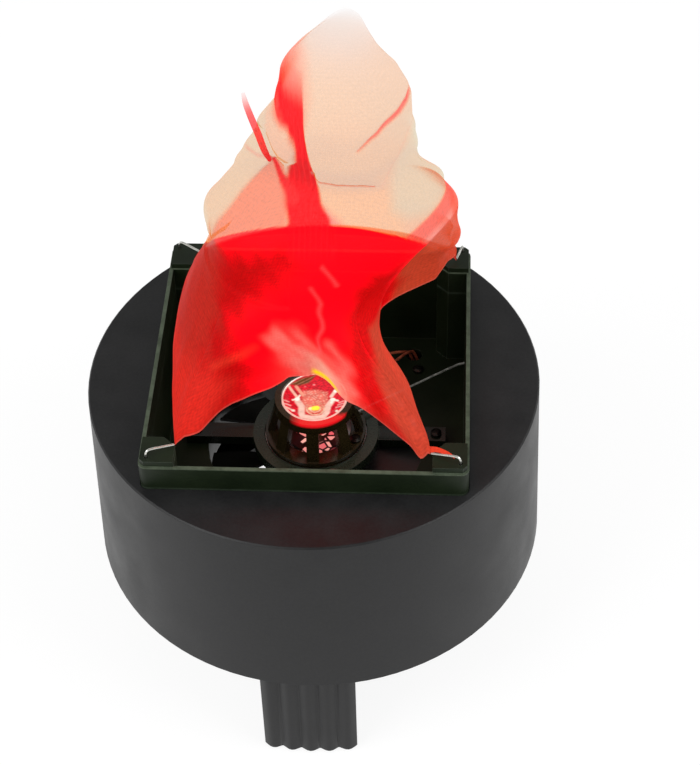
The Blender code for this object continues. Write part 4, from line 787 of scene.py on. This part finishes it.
def silk_paint(spots, front, back, turn, above):
    """The cloth's colour, the lamp's light and shade painted on it, and its cover, at each spot: red in
    the lamp's beam and paler above, with pleats, folds, painted shade and painted hot places that stand
    in front of it. above is how far a spot is over the free edge, in mm, and back is how far it faces the
    rear."""
    x, y, z = spots.T
    wavy = spots + 1.3 * np.column_stack([np.sin(z / 2.1 + x / 5), 0 * x, np.sin(x / 1.7 + z / 6)])
    rim, lean, bend = RIM_LINE
    upper = eased(z + SIGHT_SLOPE * y - (rim + lean * x + bend * x * x), -1.1, 0.3)
    ahead, pale_front, red_front = 1 - eased(back, 0.45, 0.8), front * upper, front * (1 - upper)
    reach = np.degrees(np.arctan2(np.hypot(x, y), z + BEAM_DEPTH))
    pale = np.column_stack([through(z, PALE_HEIGHTS, tints) for tints in PALE_TINTS])
    colour = laid(laid(np.array(RED_ASIDE), RED_IN_BEAM, 1 - eased(reach, *BEAM_ANGLES)), pale, upper)
    under = 0.84 + 0.07 * front
    cover = under + (through(z, COVER_HEIGHTS, UPPER_COVERS) - under) * upper

    folds_behind = np.zeros(len(x))
    levels = np.linspace(0.02, 0.26, 12)
    for middle, width in REAR_FOLDS:
        spine = mm_place(silk_points(middle + 0.03 * np.sin(levels * 9 + middle * 40), levels))
        folds_behind = np.maximum(folds_behind, stroke(spots, spine, np.linspace(width, 0.6, 12), 5) * 0.8)
    right_side = upper * eased(y, 34, 25) * eased(back, 0.95, 0.75)
    # Painted light: the lamp's hot spot on the front hem
    hem_hot_spot = np.exp(-((turn - 0.887) / 0.027) ** 2 - (np.maximum(above - 6, 0) / 12) ** 2)
    # Each paint: where it lies, its colour and its cover. The colours are the lamp's light and shade, painted
    paints = (
        (patch(spots, LEFT_PALE, 5) * pale_front, (0.72, 0.37, 0.03), 0.31),
        (patch(spots, LEFT_FOLD, 1.6) * pale_front, (0.9, 0.125, 0.012), 0.66),
        (patch(spots, UNDERHANG, 7) * pale_front, (0.96, 0.35, 0.03), 0.42),
        (patch(spots, RIGHT_PALE, 8) * upper * ahead, (0.62, 0.4, 0.02), 0.26),
        (patch(spots, RIGHT_STRIP, 2.4) * right_side, (0.98, 0.07, 0.035), 0.8),
        # Painted highlight on the right strip
        (patch(spots, RIGHT_BAND, 5) * right_side, (1.1, 0.16, 0.1), 0.72),
        (patch(spots, BULB_LEFT, 11) * ahead, (0.99, 0.15, 0.06), 0.6),
        (patch(spots, BULB_LEFT, 8) * ahead * eased(z, 193, 176), (0.98, 0.02, 0.012), 0.93),
        (patch(spots, PLEAT_FLARE, 6) * pale_front, (0.98, 0.12, 0.08), 0.66),
        # Painted shade: the right flap, duller outside the beam
        (patch(spots, RIGHT_FLAP, 6) * ahead * eased(y, 0, 12), (0.66, 0.06, 0.024), 0.85),
        (patch(spots, RIGHT_CHEEK, 8) * ahead * eased(y, 4, 12), (0.84, 0.085, 0.03), 0.92),
        (patch(wavy, SHADE_LEFT, 15) * red_front * 0.95, (0.52, 0.002, 0.002), 0.9),
        (patch(wavy, SHADE_RIGHT, 11) * red_front * 0.8, (0.6, 0.003, 0.002), 0.9),
        # Painted shade: the left strip, duller outside the beam
        (patch(wavy, LEFT_STRIP, 10) * (1 - upper), (0.54, 0.02, 0.012), 0.86),
        (patch(spots, LEFT_KNEE, 12) * eased(y, 10, -6) * 0.85, (0.76, 0.024, 0.014), 0.88),
        (patch(spots, RIGHT_LEG, 4) * (y < 0), (0.64, 0.058, 0.028), 0.86),
        # Painted shade in the fold of the lower front
        (patch(wavy, SHADED_FOLD, 16) * front * 0.6, (0.6, 0.0, 0.001), 0.86),
        (stroke(spots, KNEE_GLEAM, 1.6, 6) * 0.35, (1.0, 0.07, 0.03), 0.86),
        (folds_behind * (1 - front) * (1 - upper), (0.93, 0.02, 0.01), 0.72),
        (pleat(spots, 2.6) * front, (0.98, 0.001, 0.009), 0.97),
        (patch(spots, PETAL, 1.2) * front, (0.86, 0.27, 0.03), 0.4),
        (trace(spots, TONGUE, (3, 2.1, 1.6, 1.3, 1.1), 1.4) * front, (0.95, 0.004, 0.01), 0.95),
        (trace(spots, CREASE, (0.3, 0.9, 1.4, 1.6), 2.2) * front, (0.95, 0.05, 0.03), 0.8),
        # Painted shadow: a thin line under the overhang's edge
        (trace(spots, OVERHANG, 0.6, 1.2) * front, (0.84, 0.06, 0.03), 0.8),
        (trace(spots, RIGHT_FOLD_LINE, 0.4, 1.6) * front * 0.5, (0.95, 0.3, 0.15), 0.5),
        (trace(spots, LEFT_CREASE, 1.2, 3) * front * 0.7, (0.93, 0.12, 0.06), 0.55),
        (hem_hot_spot * front * 0.75, (0.95, 0.16, 0.12), 0.86),
    )
    for weight, tint, thick in paints:
        colour = laid(colour, tint, weight)
        cover = cover + (thick - cover) * weight
    # Painted light: the lamp's hot spot on the lower front, streaked, with its brightest places
    streaks = np.sin((0.69 * x + 0.72 * z) * 0.8 + 2 * np.sin((0.72 * x - 0.69 * z) * 0.11))
    colour = laid(colour, (1.1, 0.22, 0.18), patch(wavy, HOT_CLOUD, 13) * front * (0.42 + 0.2 * streaks))
    for path, wide in HOT_PLACES:
        colour = laid(colour, (1.15, 0.3, 0.24), trace(wavy, path, wide, 8) * front * 0.45)
    hem_light = np.exp(-((turn - 0.902) / 0.018) ** 2 - (np.maximum(above - 9, 0) / 8) ** 2) * front * 0.85
    colour = laid(colour, (1.2, 0.5, 0.36), hem_light)
    # Painted highlights in thin streaks
    for path in HIGHLIGHT_STREAKS:
        highlight_streak = trace(spots + 0.6 * (wavy - spots), path, 0.2, 3.8) * front * 0.38
        colour = laid(colour, (1.05, 0.24, 0.24), highlight_streak)
    colour = laid(colour, (0.8, 0.16, 0.12), eased(above, 1.1, 0.4) * 0.4)
    # Painted light: a yellow streak of the lamp's light just over the hem
    yellow = np.exp(-((above - 2.2) / 2) ** 2) * eased(turn, 0.879, 0.885) * eased(turn, 0.911, 0.903)
    return laid(colour, (1.3, 0.75, 0.005), yellow), cover + (0.97 - cover) * yellow


def silk_relief(spots, front, turn, share, free):
    """How far the cloth stands out, in mm: long waves and small ripples, the pleat's sunk corrugations,
    the steps at the folded petals, the grooves of creases, and the folds drawn from each corner."""
    x, z = spots[:, 0], spots[:, 2]
    relief = 2.2 * ripples(turn, share, 3, 7, 6) * free + 0.6 * ripples(turn, share, 8, 24, 26) * free
    relief += pleat(spots, 3.0) * front * (-2.2 + 0.5 * np.sin(x * 2.4 + 0.03 * z))
    relief += 1.6 * patch(spots, PETAL, 1.4) * front - 1.3 * patch(spots, LEFT_FOLD, 1.8) * front
    relief -= 1.5 * trace(spots, CREASE, 0.5, 4) * front + 1.2 * trace(spots, OVERHANG, 0.2, 2.6) * front
    relief -= 1.2 * patch(spots, SHADED_FOLD, 14) * front
    corner = (turn * 4 + 0.5) % 1 - 0.5
    drawn = np.cos(corner * 2 * math.pi * 5.5) * np.exp(-(corner / 0.24) ** 2)
    relief += 1.1 * drawn * eased(z, 85, 30) * free
    for amount, middle, width in SWELLINGS:
        relief += amount * np.exp(-(((spots - middle) / width) ** 2).sum(1))
    return relief


def silk_piece(name, points, faces, finish, colour, cover, flat):
    """Puts the cloth's colour and glow, painted light and shade, its cover and UV map, one value for each
    point, on a new mesh. A face across the seam has its UV carried on past the girth."""
    piece = add_piece(name, points, faces, finish)
    mesh = piece.data
    add_colours(mesh, "cloth", np.clip(colour * CLOTH_SHADE, 0, 0.95))
    add_colours(mesh, "glow", colour * GLOW)
    mesh.attributes.new("cover", "FLOAT", "POINT").data.foreach_set("value", cover.astype(np.float32))
    corner = np.zeros(len(mesh.loops), np.int32)
    mesh.loops.foreach_get("vertex_index", corner)
    spots = flat[corner]
    sizes = np.zeros(len(mesh.polygons), np.int32)
    mesh.polygons.foreach_get("loop_total", sizes)
    owner = np.repeat(np.arange(len(sizes)), sizes)
    widest = np.zeros(len(sizes))
    np.maximum.at(widest, owner, spots[:, 0])
    spots[(widest[owner] > 0.75 * SILK_GIRTH) & (spots[:, 0] < 0.25 * SILK_GIRTH), 0] += SILK_GIRTH
    mesh.uv_layers.new(name="threads").data.foreach_set("uv", spots.astype(np.float32).ravel())
    return piece


def make_silk(finish):
    """The blown silk as one open sheet: the surface of silk_points, with its front hem let down, moved
    along its normals by its relief."""
    rows, columns = SILK_ROWS, SILK_COLUMNS
    step = 1e-3
    turn = np.tile(np.arange(columns) / columns, rows)
    share = np.repeat((np.arange(rows) / rows) ** 1.05, columns)
    points = silk_points(turn, share)
    ahead, behind = silk_points((turn + step) % 1, share), silk_points((turn - step) % 1, share)
    normal = unit(np.cross(ahead - behind, silk_points(turn, share + step) - points))
    front = eased(-normal[:, 1], -0.35, 0.1)
    above = mm_place(points)[:, 2] - (silk_edge(turn)[1] - DRUM_TOP) / MM
    drop = through(turn, HEM_TURNS, HEM_DROPS) * (1 - eased(above, 0, 42))
    drop[turn < HEM_TURNS[0]] = 0
    drop += through(turn, RIGHT_HEM_TURNS, RIGHT_HEM_DROPS) * (1 - eased(above, 0, 30))
    points = points - np.column_stack([0 * drop, drop, 0.85 * drop]) * 0.72 * MM
    free = eased(above, 0, 12) * eased(share, 1.0, 0.9)
    spots = mm_place(points)
    colour, cover = silk_paint(spots, front, normal[:, 1], turn, above)
    points = points + normal * (silk_relief(spots, front, turn, share, free) * MM)[:, None]
    tip = len(points)
    points = np.concatenate([points, silk_points(np.zeros(1), np.ones(1))])
    last = (rows - 1) * columns
    faces = ring_faces(rows, columns).tolist()
    faces += [(last + j, last + (j + 1) % columns, tip) for j in range(columns)]
    flat = np.column_stack([turn * SILK_GIRTH, share * SILK_LENGTH])
    flat = np.concatenate([flat, ((0.5 * SILK_GIRTH, SILK_LENGTH),)])
    piece = silk_piece("silk_sheet", points, faces, finish, np.concatenate([colour, colour[-1:]]),
                       np.concatenate([cover, cover[-1:]]), flat)
    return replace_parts(piece, "silk_flame")


def make_strip(name, path, widths, facing, finish, colour, cover):
    """A narrow loose strip of the silk: widths across a smooth path, dished a little and turned to face
    one way. Its two long edges lie half its width to each side of the path."""
    columns, rows = STRIP_COLUMNS, STRIP_ROWS
    path, widths = np.array(path, float), np.array(widths, float)
    spots = np.linspace(0, 1, rows)
    marks = np.linspace(0, 1, len(path))
    spine = np.column_stack([through(spots, marks, path[:, k]) for k in range(3)])
    wide = through(spots, marks, widths)
    ahead = np.gradient(spine, axis=0)
    side = unit(np.cross(ahead, np.array(facing, float)))
    lift = unit(np.cross(side, ahead))
    across = np.linspace(-1, 1, columns)
    curl = 0.35 * np.cos(across[None, :] * math.pi + spots[:, None] * 7)
    grid = (spine[:, None] + side[:, None] * (across[None, :, None] * wide[:, None, None])
            + lift[:, None] * (curl * wide[:, None])[:, :, None])
    points = grid.reshape(-1, 3) * MM + (0, 0, DRUM_TOP)
    stages = (0, 0.6, 1)
    tints = np.repeat(np.column_stack([through(spots, stages, v) for v in zip(*colour)]), columns, axis=0)
    covers = np.repeat(through(spots, stages, cover), columns)
    length = np.linalg.norm(ahead, axis=1).sum() * MM
    flat = np.column_stack([np.tile(across * widths.max() * MM, rows), np.repeat(spots * length, columns)])
    return silk_piece(name, points, ring_faces(rows, columns, False).tolist(), finish, tints, covers, flat)


# ---- the lens

LENS_COLUMNS, LENS_LEVELS, LENS_FACETS = 240, 130, 20
CONE_PIECES, CONE_SEED = 170, 11
LENS_PROFILE = ((0, -0.62), (4, -0.6), (9, -0.56), (13.4, -0.5), (14.2, -0.3), (15, -0.05), (16.3, 0),
                (16.8, -0.12), (17, -0.5), (17, -2.6), (16.85, -3), (16.3, -3.05), (16, -8), (15, -12),
                (13, -15.4), (10, -18), (7, -19.6), (6.4, -19.8), (0, -19.8))
LENS_GLARE = (0.97, 0.58, 0.47)
LENS_MIDDLE = ((-5.9, 4.6), (-0.1, 5.6), (6.5, 4.1), (7.2, -5.1), (5.4, -10.2), (-3.7, -10.2), (-6.6, -5.1))
LENS_BROWN = ((-13.2, 8.7), (-8, 13), (-3, 14.6), (0, 15.8), (-3.7, 10.4), (-8.1, 8.6))
LENS_CUP = ((-8.4, -3), (-6.2, -6.5), (-6, -11), (-5.3, -13.6), (0, -14.6), (5.4, -13.6), (6.9, -10.5),
            (7.4, -6), (9, -2.5))
LENS_LAMP = (1, -7.7)
# Each mark on the face, painted light from the lamp: its path, half its width and its colour
LENS_MARKS = ((((-13.5, 7.1), (-9.2, 0.5)), 0.7, (0.97, 0.5, 0.38)),
              (((-9.9, 7.6), (-5.9, 1.5)), 0.85, (0.93, 0.33, 0.22)),
              (((-10.6, 5.1), (-8, 1)), 0.15, (0.1, 0.01, 0.005)),
              (((8.7, 1), (10.9, 5.6)), 0.9, (0.97, 0.62, 0.5)),
              (((-16.2, -2.6), (-13, -3.4)), 0.35, (0.97, 0.4, 0.34)),
              (((-15.6, -5), (-12, -6)), 0.35, (0.97, 0.45, 0.4)),
              (((-14.4, -7.6), (-10.4, -9.7)), 0.55, (0.97, 0.5, 0.4)),
              (((13, -3.3), (16.4, -2.2)), 0.35, (0.97, 0.4, 0.35)),
              (((12.5, -5), (16.1, -4)), 0.3, (0.97, 0.45, 0.4)),
              (((11.6, -6.8), (15.4, -6)), 0.3, (0.97, 0.45, 0.4)),
              (((-11, -2), (-8.8, -1.3), (-7.6, 1.4)), 0.5, (1, 0.85, 0.7)),
              (((12.2, -1.9), (9.6, -1.2), (9, -3.4)), 0.6, (1, 0.85, 0.7)),
              (((-9, -1.3), (-8.6, -1.2)), 1.2, (1.1, 1.0, 0.85)),
              (((9.4, -1.1), (9.8, -1.1)), 1.1, (1.1, 1.0, 0.85)),
              (((10.7, 4.9), (11, 5.1)), 1.0, (1.1, 1.0, 0.85)),
              (((12, -9.7), (12.1, -9.6)), 0.7, (1, 0.8, 0.65)),
              (((-10.4, -9.8), (-10.2, -9.7)), 0.8, (1, 0.8, 0.65)),
              (((-0.9, 9.2), (-0.6, 9.2)), 0.5, (0.95, 0.25, 0.25)),
              (((-5.3, 7.7), (-5.1, 7.7)), 0.4, (0.95, 0.16, 0.16)),
              (((-1.8, -7.9), (-0.6, -7.7)), 0.9, (1.1, 0.95, 0.45)),
              (((0.4, -7.6), (1.7, -7.4)), 1.5, (1.2, 0.98, 0.06)))
CONE_TINTS = np.array(((1.0, 0.62, 0.5), (0.95, 0.34, 0.3), (1.0, 0.8, 0.66), (0.9, 0.08, 0.12),
                       (0.1, 0.004, 0.006), (0.9, 0.01, 0.02), (0.05, 0.012, 0.006), (0.5, 0.005, 0.03),
                       (0.8, 0.16, 0.2), (0.02, 0.01, 0.005)))


def lens_paint(spots):
    """Light painted on the lens: what it shows on its face and on the facets of its cone, by place in mm
    from its face's middle: the lit cup, the lamp's spot with rings round it, stars, bars and red depths."""
    x, y, z = spots.T
    flat = np.column_stack([x, 0 * x, y])
    swirl = np.sin(x * 1.9 + 2 * np.sin(y * 0.9)) * np.sin(y * 2.3 + 1.5 * np.sin(x * 1.3))
    colour = np.array((0.72, 0.004, 0.018)) * (1 + 0.3 * swirl[:, None])

    def lay(weight, tint):
        colour[:] = laid(colour, tint, weight)

    brown, middle = patch(flat, LENS_BROWN, 1.6), patch(flat, LENS_MIDDLE, 2.2)
    lay(brown, (0.13, 0.04, 0.008))
    lay(brown * eased(np.sin(x * 2.2 - y * 3.1), 0.2, 0.9) * 0.6, (0.5, 0.2, 0.1))
    lay(middle, (0.84, 0.17, 0.12))
    lay(middle * eased(swirl, -0.1, 0.7) * 0.7, (0.97, 0.42, 0.32))
    lay(trace(flat, LENS_CUP, 1.6, 1.2), LENS_GLARE)
    lamp = np.hypot(x - LENS_LAMP[0], y - LENS_LAMP[1])
    rings = eased(np.cos((lamp - 2.6) * 2 * math.pi / 1.9), -0.2, 0.8)
    rings *= eased(lamp, 6.4, 5.4) * eased(lamp, 2, 2.6)
    lay(eased(lamp, 5.6, 4.4) * eased(swirl, -0.6, 0.6) * 0.75, (0.8, 0.26, 0.16))
    lay(rings * eased(y, -5, -9) * 0.6, (1, 0.68, 0.45))
    for path, half, tint in LENS_MARKS:
        lay(trace(flat, path, half, 0.9), tint)
    edge = np.hypot(x, y)
    upper_left = np.exp(-(((np.degrees(np.arctan2(y, x)) - 142) / 26) ** 2))
    # The rim: a pale band, and a painted highlight round its upper left
    lay(eased(edge, 15.9, 16.3), (0.95, 0.5, 0.42))
    lay(eased(edge, 15.7, 16.2) * upper_left, (1.2, 1.05, 0.95))

    rng = np.random.default_rng(CONE_SEED)
    around, count = np.arctan2(y, x), CONE_PIECES
    seeds = np.column_stack([rng.uniform(-math.pi, math.pi, count), rng.uniform(-20, -3, count)])
    high, deep = CONE_TINTS[rng.integers(0, 6, count)], CONE_TINTS[rng.integers(3, 10, count)]
    tints = np.where((seeds[:, 1] > -10.5)[:, None], high, deep)
    best, facet = np.full(len(x), 1e9), np.zeros((len(x), 3))
    for (bearing, level), tint in zip(seeds, tints):
        aside = (around - bearing + math.pi) % (2 * math.pi) - math.pi
        off = (aside * 15) ** 2 + (1.3 * (z - level) + 1.5 * aside * 15 * 0.3) ** 2
        facet[off < best] = tint
        best = np.minimum(best, off)
    return np.where((z < -2.6)[:, None], facet, colour)


def make_lens(finish):
    """The moulded lens: its profile, from the face's middle out over the rim and down the cone, turned
    about the lamp's axis, with shallow facets on the cone."""
    columns = LENS_COLUMNS
    marks = np.array(LENS_PROFILE)
    steps = np.concatenate([[0], np.cumsum(np.hypot(*np.diff(marks, axis=0).T))])
    along = np.unique(np.concatenate([steps[1:-1], np.linspace(0.2, steps[-1] - 0.2, LENS_LEVELS)]))
    radius, height = (np.interp(along, steps, marks[:, k]) for k in range(2))
    bearing = 2 * math.pi * np.arange(columns) / columns
    facet = (bearing * LENS_FACETS / 2 / math.pi) % 1
    flatness = eased(-height, 3.2, 5) * eased(-height, 19.6, 17)
    grid_radius = radius[:, None] * (1 - 0.018 * flatness[:, None] * (1 - (2 * facet[None, :] - 1) ** 2))
    x, y = grid_radius * np.cos(bearing), grid_radius * np.sin(bearing)
    spots = np.column_stack([x.ravel(), y.ravel(), np.repeat(height, columns)])
    spots = np.concatenate([spots, ((0, 0, marks[0, 1]), (0, 0, marks[-1, 1]))])
    rows, last = len(along), (len(along) - 1) * columns
    faces = ring_faces(rows, columns)[:, ::-1].tolist()
    faces += [(rows * columns, j, (j + 1) % columns) for j in range(columns)]
    faces += [(rows * columns + 1, last + (j + 1) % columns, last + j) for j in range(columns)]
    piece = add_piece("lens_moulding", spots * MM + (0, 0, LENS_FACE), faces, finish)
    add_colours(piece.data, "lit", lens_paint(spots))
    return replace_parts(piece, "led_lens")


# ---- the light

add_camera()
add_stage()
finishes = make_finishes()

# Each part's finish and the finish of its rounded edges; the tray's edges take the paler edge finish, a
# painted highlight
for finish, edge, width, names in (
        ("tray", "edge", 0.45, ("flame_tray",)), ("fan", "fan", 0.45, ("fan_frame",)),
        ("shell", "shell", 0.6,
         ("drum_housing", "leg_front", "leg_rear_left", "leg_rear_right", "base_plate")),
        ("ring", "ring", 0.45, ("lamp_bracket",)), ("lens_cage", "lens_cage", 0.45, ("lens_cage",))):
    for name in names:
        softened(name, [finishes[finish], finishes[edge]], width)
# The photograph shows the blades a little way round from where the part rests
rotor = softened("fan_rotor", [finishes["fan"]] * 2, 0.25)
rotor.data.transform(Matrix.Rotation(ROTOR_TURN, 4, "Z"))

slots = {row["node"]: row["material_slot"] for row in frame["record"]["subparts"]}
for name, obj in frame["nodes"].items():
    finish = "lamp_board" if name == "led_board" else slots[name]
    if finish == "steel" and "screw" in name:
        finish = "black_steel"
    if finish in finishes:
        obj.material_slots[0].material = finishes[finish]
make_lens(finishes["lens"])

silk_cloth = silk_finish("silk_cloth")
silk = make_silk(silk_cloth)
tongue = make_strip("silk_tongue", TONGUE_PATH, TONGUE_WIDTHS, (0, -1, 0.6), silk_cloth, TONGUE_TINTS,
                    (0.96, 0.85, 0.2))
ear = make_strip("silk_ear", EAR_PATH, EAR_WIDTHS, (0, -0.5, 1), silk_cloth, EAR_TINTS, (0.9, 0.9, 0.9))
for cloth in (silk, tongue, ear):
    cloth.visible_diffuse = False
